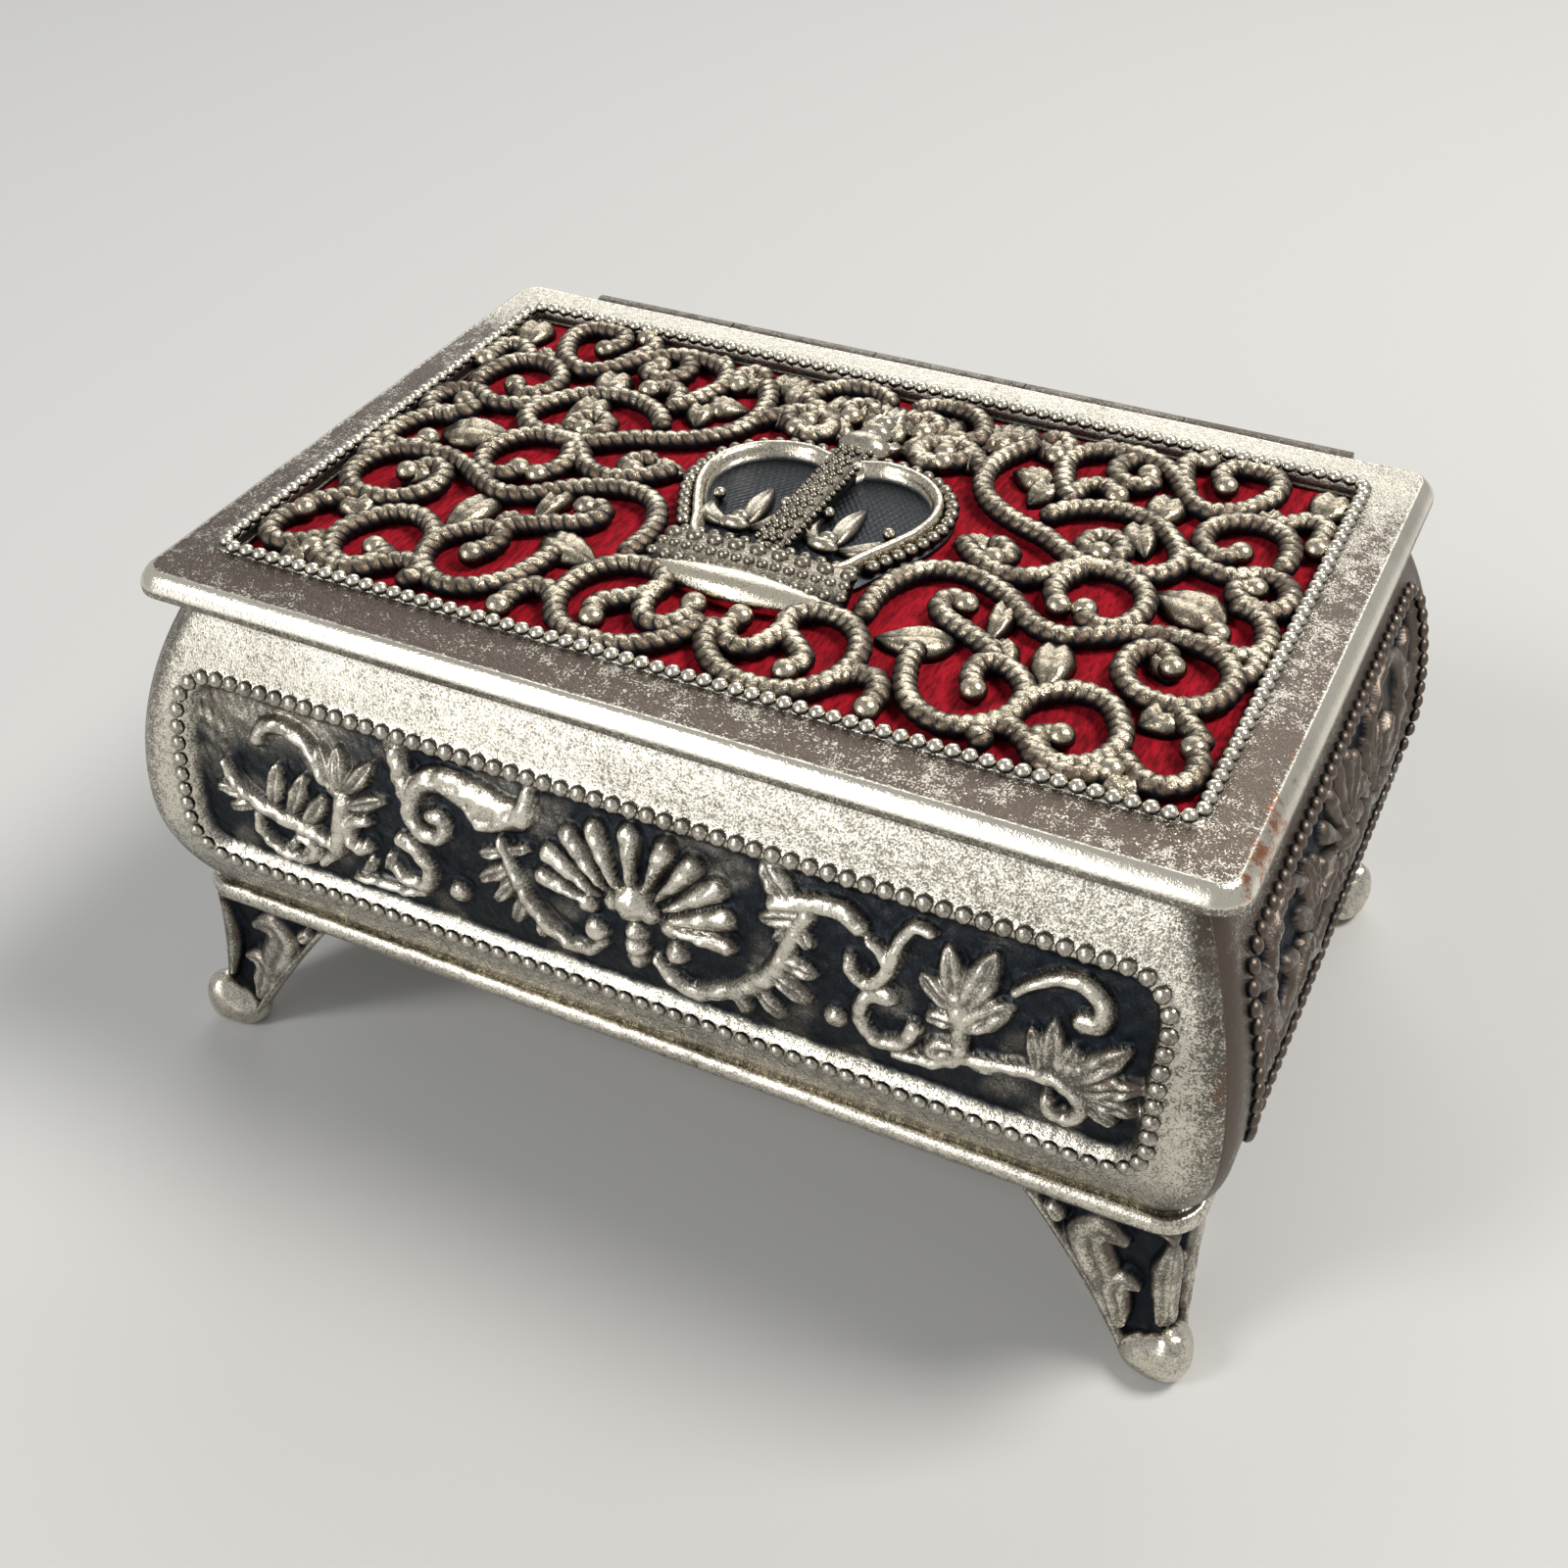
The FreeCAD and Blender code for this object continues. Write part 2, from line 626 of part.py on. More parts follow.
def hinge():
    lid_knuckles = range(0, hinge_knuckles, 2)
    body_knuckles = range(1, hinge_knuckles, 2)
    wall_face = half_depth - rim_inset - wall_thickness
    pin = Part.makeCylinder(pin_radius, hinge_length, vec(-hinge_length / 2, hinge_y, hinge_z),
                            vec(1, 0, 0))
    return {"hinge_lid_leaf": hinge_leaf(half_depth - pocket_wall, lid_z, lid_knuckles),
            "hinge_body_leaf": hinge_leaf(wall_face, rim_z - leaf_thickness, body_knuckles),
            "hinge_pin": pin}


def lid():
    velvet_top = pocket_z - sheet_gap
    board_top = velvet_top - velvet_thickness - sheet_gap
    lining_top = lid_z + lining_thickness
    return {"lid_frame": lid_frame(), "lid_filigree": filigree(crown_outline()),
            "lid_crown": crown(), "lid_velvet": lid_sheet(velvet_top, velvet_thickness),
            "lid_board": lid_sheet(board_top, board_thickness),
            "lid_lining": lid_sheet(lining_top, lining_thickness)}


os.makedirs("parts", exist_ok=True)
nodes = {}
for group in (body_walls(), {"base_plate": base_plate()}, feet(), box_lining(), hinge(), lid()):
    nodes.update(group)
for name, shape in nodes.items():
    shape.exportStep("parts/" + name + ".step")
    print(name, "solids", len(shape.Solids), "valid", shape.isValid(), "volume", round(shape.Volume, 1))
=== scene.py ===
import math
import bpy
import numpy as np
from mathutils import Matrix


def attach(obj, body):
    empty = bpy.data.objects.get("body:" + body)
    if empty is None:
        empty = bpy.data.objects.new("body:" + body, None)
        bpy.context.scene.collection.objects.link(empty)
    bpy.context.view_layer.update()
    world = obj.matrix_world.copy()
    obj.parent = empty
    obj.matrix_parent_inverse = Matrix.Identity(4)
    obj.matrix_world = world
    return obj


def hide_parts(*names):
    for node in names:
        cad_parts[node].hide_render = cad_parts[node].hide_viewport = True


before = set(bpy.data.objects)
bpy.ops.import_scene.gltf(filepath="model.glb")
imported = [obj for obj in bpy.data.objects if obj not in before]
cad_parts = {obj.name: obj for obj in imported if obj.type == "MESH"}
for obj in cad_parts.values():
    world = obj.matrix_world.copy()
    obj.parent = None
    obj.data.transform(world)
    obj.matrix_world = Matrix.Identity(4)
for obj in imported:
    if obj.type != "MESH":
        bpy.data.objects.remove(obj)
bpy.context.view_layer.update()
mm = 0.001                     # everything below is in millimetres, and meshes are made in metres
print("frame loaded:", len(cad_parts), "nodes")

# sizes of the box, as in the part
casket = {
    "halfX": 50.0, "halfY": 33.0, "lidCorner": 3.0, "pocketX": 46.0, "pocketY": 29.0,
    "baseZ": 16.4, "wallZ": 19.0, "bellyZ": 30.0, "rimZ": 51.85,
    "lidZ": 52.0, "pocketZ": 53.65, "shoulderZ": 54.35, "borderZ": 54.7,
    "bellyOut": 2.6, "rimIn": 3.4, "footIn": 0.8, "wallThick": 1.8,
    "beadX": 44.4, "beadY": 26.5,
}
# words in the names of the four sides, and the turn from the front to each
sideTurns = (("Front", 0), ("Back", 180), ("Right", 90), ("Left", 270))


def swell(z):
    # reach of the wall past the lid's edge: one arc above the belly, one below, both upright there
    c = casket
    z = np.asarray(z, float)
    up = z >= c["bellyZ"]
    fall = c["bellyOut"] + np.where(up, c["rimIn"], c["footIn"])
    drop = np.where(up, c["rimZ"] - c["bellyZ"], c["bellyZ"] - c["wallZ"])
    radius = (fall ** 2 + drop ** 2) / (2 * fall)
    return c["bellyOut"] - radius + np.sqrt(radius ** 2 - (z - c["bellyZ"]) ** 2)


def smoothstep(low, high, value):
    # eases from 0 at low to 1 at high: three squares less two cubes of the share between them
    t = np.clip((value - low) / (high - low), 0, 1)
    return t * t * (3 - 2 * t)


def ripple(x, y, z, size, seed):
    # soft uneven value, mostly from -1 to 1: a fifth of twelve sine waves in seeded directions, size apart
    draw = np.random.default_rng(seed)
    total = np.zeros(np.broadcast(x, y, z).shape)
    for wave in range(12):
        way = draw.normal(size=3)
        way *= 2 * math.pi / size * draw.uniform(0.6, 1.6) / np.linalg.norm(way)
        total = total + np.sin(way[0] * x + way[1] * y + way[2] * z + draw.uniform(0, 6.28))
    return total / 5


def roundAngles(count):
    # equal steps round a full turn, from 0
    return np.arange(count) * 2 * math.pi / count


def dome(angle, power):
    # upper half of a ring: a power of the sine, and 0 below
    return np.maximum(np.sin(angle), 0) ** power


def runLength(points):
    # distance along a line of points, from 0 at the first
    return np.concatenate([[0], np.cumsum(np.linalg.norm(np.diff(points, axis=0), axis=1))])


def pointsAt(at, run, points):
    # points of a line at these distances along it, straight between its own points
    return np.stack([np.interp(at, run, points[:, k]) for k in range(points.shape[1])], 1)


def smoothPath(points, step):
    # cubic through the points (knots a root of the chord apart), resampled at equal steps
    p = np.asarray(points, float)
    chord = np.linalg.norm(np.diff(p, axis=0), axis=1)
    knot = np.concatenate([[0], np.cumsum(np.sqrt(chord))])
    slope = np.gradient(p, knot, axis=0)
    t = np.linspace(0, knot[-1], 40 * len(p))
    i = np.clip(np.searchsorted(knot, t, side="right") - 1, 0, len(p) - 2)
    span = (knot[i + 1] - knot[i])[:, None]
    u = (t - knot[i])[:, None] / span
    fine = ((2 * u ** 3 - 3 * u ** 2 + 1) * p[i] + (u ** 3 - 2 * u ** 2 + u) * span * slope[i]
            + (3 * u ** 2 - 2 * u ** 3) * p[i + 1] + (u ** 3 - u ** 2) * span * slope[i + 1])
    run = runLength(fine)
    at = np.linspace(0, run[-1], max(4, int(run[-1] / step) + 1))
    return pointsAt(at, run, fine), at


def roundedLoop(halfX, halfY, radius, sideSteps=200, cornerSteps=24):
    # closed outline of a round-cornered rectangle: a side and the corner after it, turned four ways
    t = np.arange(sideSteps) / sideSteps
    a = np.arange(cornerSteps) / cornerSteps * math.pi / 2
    quarters = []
    for k, (c, s) in enumerate(((1, 0), (0, 1), (-1, 0), (0, -1))):
        run, reach = (halfX, halfY) if k % 2 == 0 else (halfY, halfX)
        straight = run - radius
        u = np.concatenate([straight * (2 * t - 1), straight + radius * np.sin(a)])
        v = np.concatenate([np.full(sideSteps, -reach), radius - reach - radius * np.cos(a)])
        quarters.append(np.stack([c * u - s * v, s * u + c * v], 1))
    return np.concatenate(quarters)


def rowRound(loop, pitch, look=0.2):
    # points about a pitch apart round a closed outline, with the way to the point a look ahead of each
    closed = np.concatenate([loop, loop[:1]])
    run = runLength(closed)
    at = np.linspace(0, run[-1], int(round(run[-1] / pitch)) + 1)[:-1]
    spot = pointsAt(at, run, closed)
    return spot, pointsAt((at + look) % run[-1], run, closed) - spot


def carried(rows, sideSteps, cornerSteps):
    # profile carried round the box: for each row its half sizes, corner and height give one outline
    loops = np.stack([roundedLoop(*row[:3], sideSteps, cornerSteps) for row in rows])
    height = np.array([row[3] for row in rows])[:, None] + np.zeros(loops.shape[1])
    return loops[..., 0], loops[..., 1], height


def gridFaces(rows, cols, wrapRows=False, wrapCols=False):
    # quads between neighbouring rows and columns of points
    r = np.arange(rows if wrapRows else rows - 1)[:, None]
    c = np.arange(cols if wrapCols else cols - 1)[None]
    r2 = (r + 1) % rows
    c2 = (c + 1) % cols
    return np.stack([r * cols + c, r * cols + c2, r2 * cols + c2, r2 * cols + c], -1).reshape(-1, 4)


def shell(points, faces, tone=1.0, tarnish=0.0, copper=0.0, frost=1.0):
    # a closed skin, turned so that its faces point outwards, with its finish at each point
    points = np.asarray(points, float).reshape(-1, 3)
    volume = 0.0
    for group in faces:
        for k in range(1, group.shape[1] - 1):
            a, b, c = (points[group[:, j]] for j in (0, k, k + 1))
            volume += np.einsum("ij,ij->", a, np.cross(b, c))
    if volume < 0:
        faces = [group[:, ::-1] for group in faces]
    values = (tone, tarnish, copper, frost)
    fill = [np.broadcast_to(np.asarray(v, float).ravel(), len(points)) for v in values]
    return {"points": points, "faces": faces, "finish": fill}


def moved(part, turn=0.0, mirrorX=False, mirrorY=False):
    # copy of a shell, mirrored and turned about the upright axis
    p = part["points"] * [-1 if mirrorX else 1, -1 if mirrorY else 1, 1]
    c, s = math.cos(math.radians(turn)), math.sin(math.radians(turn))
    p = np.stack([c * p[:, 0] - s * p[:, 1], s * p[:, 0] + c * p[:, 1], p[:, 2]], 1)
    return shell(p, part["faces"], *part["finish"])


def tube(points, **finish):
    # rows of closed rings, with a flat face over the first and the last ring
    rows, cols = points.shape[:2]
    last = (rows - 1) * cols
    caps = np.stack([np.arange(cols), np.arange(last + cols - 1, last - 1, -1)])
    return shell(points, [gridFaces(rows, cols, wrapCols=True)[:, ::-1], caps], **finish)


def hoop(points, **finish):
    # rows of closed rings, the last joined to the first
    return shell(points, [gridFaces(*points.shape[:2], wrapRows=True, wrapCols=True)], **finish)


def beads(centres, along, up, sizes, steps=(8, 5), tarnish=0.08):
    # small ellipsoids of few faces: half sizes along the row, across it and upwards
    count, around, rings = len(centres), steps[0], steps[1]
    along = along / np.linalg.norm(along, axis=1)[:, None]
    up = np.broadcast_to(up, along.shape)
    across = np.cross(up, along)
    lat = np.linspace(0, math.pi, rings + 1)[1:-1]
    lon = roundAngles(around)
    body = np.stack([np.outer(np.sin(lat), np.cos(lon)), np.outer(np.sin(lat), np.sin(lon)),
                     np.outer(np.cos(lat), np.ones(around))], -1).reshape(-1, 3)
    body = np.concatenate([body, [[0, 0, 1], [0, 0, -1]]])
    sizes = np.broadcast_to(np.asarray(sizes, float), (count, 3))
    p = centres[:, None]
    for k, axis in enumerate((along, across, up)):
        p = p + body[None, :, k:k + 1] * axis[:, None] * sizes[:, None, k:k + 1]
    n, ring = len(body), rings - 1
    quads = gridFaces(ring, around, wrapCols=True)[:, ::-1]
    k = np.arange(around)
    k2 = (k + 1) % around
    top = np.stack([np.full(around, n - 2), k, k2], 1)
    low = np.stack([np.full(around, n - 1), (ring - 1) * around + k2, (ring - 1) * around + k], 1)
    shift = (np.arange(count) * n)[:, None, None]
    faces = [(part[None] + shift).reshape(-1, part.shape[1]) for part in (quads, np.concatenate([top, low]))]
    # painted shade: each bead darker towards the surface it stands on, lighter on its top
    tone = np.tile(smoothstep(-0.3, 0.8, body[:, 2]), count)
    return shell(p, faces, tone=tone, tarnish=tarnish, frost=0.4)


def flatBeads(centres, sizes, along=None, **finish):
    # beads whose heights are upright and whose rows run along these ways in plan, or along x
    centres = np.asarray(centres, float)
    if along is None:
        along = np.tile([1.0, 0], (len(centres), 1))
    level = np.column_stack([along, np.zeros(len(along))])
    return beads(centres, level, np.array([0.0, 0, 1]), sizes, **finish)


def placed(name, data):
    # object for this data, linked to the scene
    obj = bpy.data.objects.new(name, data)
    bpy.context.scene.collection.objects.link(obj)
    return obj


def piece(name, shells, body, node, material):
    # one object from its shells, riding on a body in place of the node it stands for
    mesh = bpy.data.meshes.new(name)
    offsets = np.cumsum([0] + [len(s["points"]) for s in shells])
    points = np.concatenate([s["points"] for s in shells]) * mm
    groups = [g + offset for s, offset in zip(shells, offsets) for g in s["faces"]]
    loops = np.concatenate([g.ravel() for g in groups]).astype(np.int32)
    sides = np.concatenate([np.full(len(g), g.shape[1]) for g in groups])
    mesh.vertices.add(len(points))
    mesh.vertices.foreach_set("co", points.astype(np.float32).ravel())
    mesh.loops.add(len(loops))
    mesh.loops.foreach_set("vertex_index", loops)
    mesh.polygons.add(len(sides))
    mesh.polygons.foreach_set("loop_start", (np.cumsum(sides) - sides).astype(np.int32))
    mesh.polygons.foreach_set("use_smooth", np.ones(len(sides), bool))
    mesh.update(calc_edges=True)
    for k, label in enumerate(("tone", "tarnish", "copper", "frost")):
        values = np.concatenate([s["finish"][k] for s in shells]).astype(np.float32)
        mesh.attributes.new(label, "FLOAT", "POINT").data.foreach_set("value", values)
    mesh.materials.append(material)
    obj = placed(name, mesh)
    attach(obj, body)
    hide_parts(node)
    print("piece", name, int((sides - 2).sum()), "triangles")
    return obj


# finishes

def socketGroup(name, inputs, outputs):
    # empty node group: inputs with their first values, a colour where that is a tuple, and outputs
    group = bpy.data.node_groups.new(name, "ShaderNodeTree")
    for label, value in inputs.items():
        kind = "NodeSocketColor" if isinstance(value, tuple) else "NodeSocketFloat"
        group.interface.new_socket(label, in_out="INPUT", socket_type=kind).default_value = value
    for label in outputs:
        kind = "NodeSocketColor" if label == "Color" else "NodeSocketFloat"
        group.interface.new_socket(label, in_out="OUTPUT", socket_type=kind)
    return group, group.nodes.new("NodeGroupInput"), group.nodes.new("NodeGroupOutput")


def feed(tree, node, index, value):
    # links an output to the node's input, or sets the input to a plain value
    if hasattr(value, "is_linked"):
        tree.links.new(value, node.inputs[index])
    else:
        node.inputs[index].default_value = value


def calc(tree, operation, a, b=0.0, c=0.0, clamp=False):
    # one operation on a, b and c
    node = tree.nodes.new("ShaderNodeMath")
    node.operation = operation
    node.use_clamp = clamp
    for index, value in enumerate((a, b, c)):
        feed(tree, node, index, value)
    return node.outputs[0]


def between(tree, value, low, high, toLow=0.0, toHigh=1.0):
    # eases from toLow to toHigh as the value goes from low to high
    node = tree.nodes.new("ShaderNodeMapRange")
    node.interpolation_type = "SMOOTHSTEP"
    for index, item in enumerate((value, low, high, toLow, toHigh)):
        feed(tree, node, index, item)
    return node.outputs[0]


def blendColour(tree, share, first, second, kind="MIX"):
    # first colour at share 0; at share 1 the second, or their product where the kind is MULTIPLY
    node = tree.nodes.new("ShaderNodeMix")
    node.data_type = "RGBA"
    node.blend_type = kind
    feed(tree, node, 0, share)
    for index, colour in ((6, first), (7, second)):
        feed(tree, node, index, colour if hasattr(colour, "is_linked") else (*colour, 1))
    return node.outputs[2]


def noise(tree, coords, scale, detail=3.0, rough=0.55):
    # uneven value from 0 to 1, with about scale swings to the metre
    node = tree.nodes.new("ShaderNodeTexNoise")
    tree.links.new(coords, node.inputs["Vector"])
    for label, value in (("Scale", scale), ("Detail", detail), ("Roughness", rough)):
        node.inputs[label].default_value = value
    return node.outputs["Fac"]


# colours; scale, detail and roughness of each noise; from, to and their values for each easing;
# depth of the bump in millimetres
silver = {
    # the black of oxide in the hollows also serves as painted shade
    "pale": (0.78, 0.735, 0.63), "dull": (0.15, 0.136, 0.112), "oxideAndShade": (0.010, 0.015, 0.022),
    "stain": (0.130, 0.104, 0.086), "copper": (0.42, 0.17, 0.085), "warm": (1.0, 0.91, 0.76),
    "grain": (5000.0, 2.0, 0.6), "fleck": (1400.0, 5.0, 0.7), "flake": (560.0, 5.0, 0.65),
    "cloud": (70.0, 4.0, 0.55),
    "hollowEase": (0.62, 0.10, 0.0, 0.96), "dullEase": (-0.16, 0.26), "frostEase": (1.0, 1.6, 0.92, 0.45),
    "cloudEase": (0.0, 0.25, 0.0, 0.3), "stainEase": (0.38, 0.43), "copperEase": (0.35, 0.60),
    "bumpDeep": 0.08,
}


def makePlateGroup():
    # worn plate: pale and dull grain, stains broken by flecks, copper where rubbed, black oxide in hollows
    # and painted shade where the mesh is dark
    s = silver
    group, into, out = socketGroup(
        "wornPlate", {"Tone": 1.0, "Tarnish": 0.0, "Copper": 0.0, "Frost": 1.0, "Warmth": 0.0},
        ("Color", "Roughness", "Height"))
    coords = group.nodes.new("ShaderNodeTexCoord").outputs["Object"]
    grain, fleck, flake, cloud = (calc(group, "SUBTRACT", noise(group, coords, *s[kind]), 0.5)
                                  for kind in ("grain", "fleck", "flake", "cloud"))
    tone, tarnish, copper, frost, warmth = (into.outputs[k] for k in range(5))
    # where the mesh is dark the plate turns black: oxide in the hollows, and painted shade on flanks,
    # undersides and crevices
    hollow = between(group, calc(group, "MULTIPLY_ADD", fleck, 0.45, tone), *s["hollowEase"])
    uneven = calc(group, "MULTIPLY_ADD", fleck, 0.8, calc(group, "MULTIPLY", grain, 1.2))
    uneven = calc(group, "MULTIPLY", uneven, frost)
    worn = between(group, calc(group, "MULTIPLY_ADD", tarnish, 0.8, uneven), *s["dullEase"])
    dullness = calc(group, "MULTIPLY", worn, between(group, frost, *s["frostEase"]))
    dullness = calc(group, "ADD", dullness, between(group, cloud, *s["cloudEase"]), clamp=True)
    colour = blendColour(group, dullness, s["pale"], s["dull"])
    patchy = calc(group, "MULTIPLY_ADD", uneven, 0.65, calc(group, "MULTIPLY", cloud, 0.5))
    patchy = calc(group, "MULTIPLY_ADD", flake, 1.1, patchy)
    stained = between(group, calc(group, "ADD", patchy, tarnish), *s["stainEase"])
    colour = blendColour(group, stained, colour, s["stain"])
    rubbed = between(group, calc(group, "ADD", patchy, copper), *s["copperEase"])
    colour = blendColour(group, rubbed, colour, s["copper"])
    colour = blendColour(group, warmth, colour, s["warm"], "MULTIPLY")
    colour = blendColour(group, hollow, colour, s["oxideAndShade"])
    rough = 0.15
    for value, share in ((dullness, 0.14), (stained, 0.12), (hollow, 0.20)):
        rough = calc(group, "MULTIPLY_ADD", value, share, rough)
    height = calc(group, "MULTIPLY", calc(group, "MULTIPLY_ADD", fleck, 1.4, grain), frost)
    for index, value in enumerate((colour, rough, height)):
        group.links.new(value, out.inputs[index])
    return group


pile = {
    "lit": (0.48, 0.006, 0.02, 1), "deep": (0.16, 0.002, 0.008, 1), "lie": (1.0, 0.22, 1.0),
    "thread": (3200.0, 2.0), "crush": (160.0, 3.0), "ease": (0.30, 0.68), "bumpDeep": 0.15,
    "shine": {"Roughness": 0.92, "Specular IOR Level": 0.15, "Sheen Weight": 0.25, "Sheen Roughness": 0.4,
              "Sheen Tint": (1.0, 0.25, 0.3, 1)},
}


def makePileGroup():
    # velvet: threads of pile along the depth, crushed patches, darker between the threads
    s = pile
    group, into, out = socketGroup("velvetPile", {"Lit": s["lit"], "Deep": s["deep"], "Thread": 1.0},
                                   ("Color", "Height"))
    coords = group.nodes.new("ShaderNodeTexCoord").outputs["Object"]
    stretch = group.nodes.new("ShaderNodeMapping")
    stretch.inputs["Scale"].default_value = s["lie"]
    group.links.new(coords, stretch.inputs["Vector"])
    thread = noise(group, stretch.outputs[0], *s["thread"])
    crush = noise(group, coords, *s["crush"])
    soft = calc(group, "MULTIPLY_ADD", crush, 0.30, 0.36)
    mix = calc(group, "MULTIPLY_ADD", calc(group, "SUBTRACT", thread, 0.5), into.outputs[2], soft)
    colour = blendColour(group, between(group, mix, *s["ease"]), into.outputs[1], into.outputs[0])
    group.links.new(colour, out.inputs[0])
    group.links.new(calc(group, "MULTIPLY_ADD", crush, 0.6, thread), out.inputs[1])
    return group


def newMaterial(name, values):
    # material whose shader has these plain values
    material = bpy.data.materials.new(name)
    material.use_nodes = True
    shader = material.node_tree.nodes["Principled BSDF"]
    for label, value in values.items():
        shader.inputs[label].default_value = value
    return material, material.node_tree, shader


def dressed(tree, shader, group, bump, deep):
    # group node that gives the shader its colour and, by a bump so many millimetres deep, its normal
    node = tree.nodes.new("ShaderNodeGroup")
    node.node_tree = group
    relief = tree.nodes.new("ShaderNodeBump")
    relief.inputs["Strength"].default_value = bump
    relief.inputs["Distance"].default_value = deep * mm
    tree.links.new(node.outputs["Height"], relief.inputs["Height"])
    tree.links.new(node.outputs["Color"], shader.inputs["Base Color"])
    tree.links.new(relief.outputs["Normal"], shader.inputs["Normal"])
    return node


def plateMaterial(name, bump, warmth, even=None):
    # plate whose darkness by oxide and painted shade, tarnish, copper and frost come from the mesh, or are
    # even where a node has none
    material, tree, shader = newMaterial(name, {"Metallic": 1.0})
    node = dressed(tree, shader, plateGroup, bump, silver["bumpDeep"])
    for k, socket in enumerate(("Tone", "Tarnish", "Copper", "Frost")):
        if even:
            node.inputs[socket].default_value = even[k]
            continue
        value = tree.nodes.new("ShaderNodeAttribute")
        value.attribute_name = socket.lower()
        tree.links.new(value.outputs["Fac"], node.inputs[socket])
    node.inputs["Warmth"].default_value = warmth
    tree.links.new(node.outputs["Roughness"], shader.inputs["Roughness"])
    return material


def velvetMaterial(name, lit, deep, thread, bump):
    # pile between a deep and a lit colour; thread says how strongly its threads show
    material, tree, shader = newMaterial(name, pile["shine"])
    node = dressed(tree, shader, pileGroup, bump, pile["bumpDeep"])
    for label, value in (("Lit", (*lit, 1)), ("Deep", (*deep, 1)), ("Thread", thread)):
        node.inputs[label].default_value = value
    return material


plateGroup = makePlateGroup()
pileGroup = makePileGroup()
castPlate = plateMaterial("castPlate", 0.60, 0.0)
scrollPlate = plateMaterial("scrollPlate", 0.90, 0.7)
polishedPlate = plateMaterial("polishedPlate", 0.60, 0.3)
hingePlate = plateMaterial("hingePlate", 0.8, 0.0, even=(0.50, 0.36, 0.02, 1.0))
# the lid's velvet is set darker than its own red, painted shade of the scrolls over it
lidVelvetCloth = velvetMaterial("lidVelvetCloth", (0.40, 0.006, 0.018), (0.15, 0.002, 0.007), 1.0, 0.8)
liningCloth = velvetMaterial("liningCloth", (0.42, 0.006, 0.02), (0.14, 0.002, 0.008), 0.8, 0.5)
cardBoard = velvetMaterial("cardBoard", (0.50, 0.45, 0.38), (0.42, 0.37, 0.31), 0.6, 0.1)
print("finishes ready")


# lid border

lidBorder = {
    "under": 0.04, "edge": 0.8, "shoulder": 1.3, "shoulderHigh": 1.55, "bevel": 1.35, "step": 1.5,
    "railOut": 0.55, "railCorner": 1.1, "railWide": 1.1, "railHigh": 0.22,
    "beadPitch": 1.42, "beadSize": (0.73, 0.72, 0.60), "beadLift": 0.36, "beadCorner": 1.6,
    "sideSteps": 90, "cornerSteps": 14, "wobble": 0.05,
}


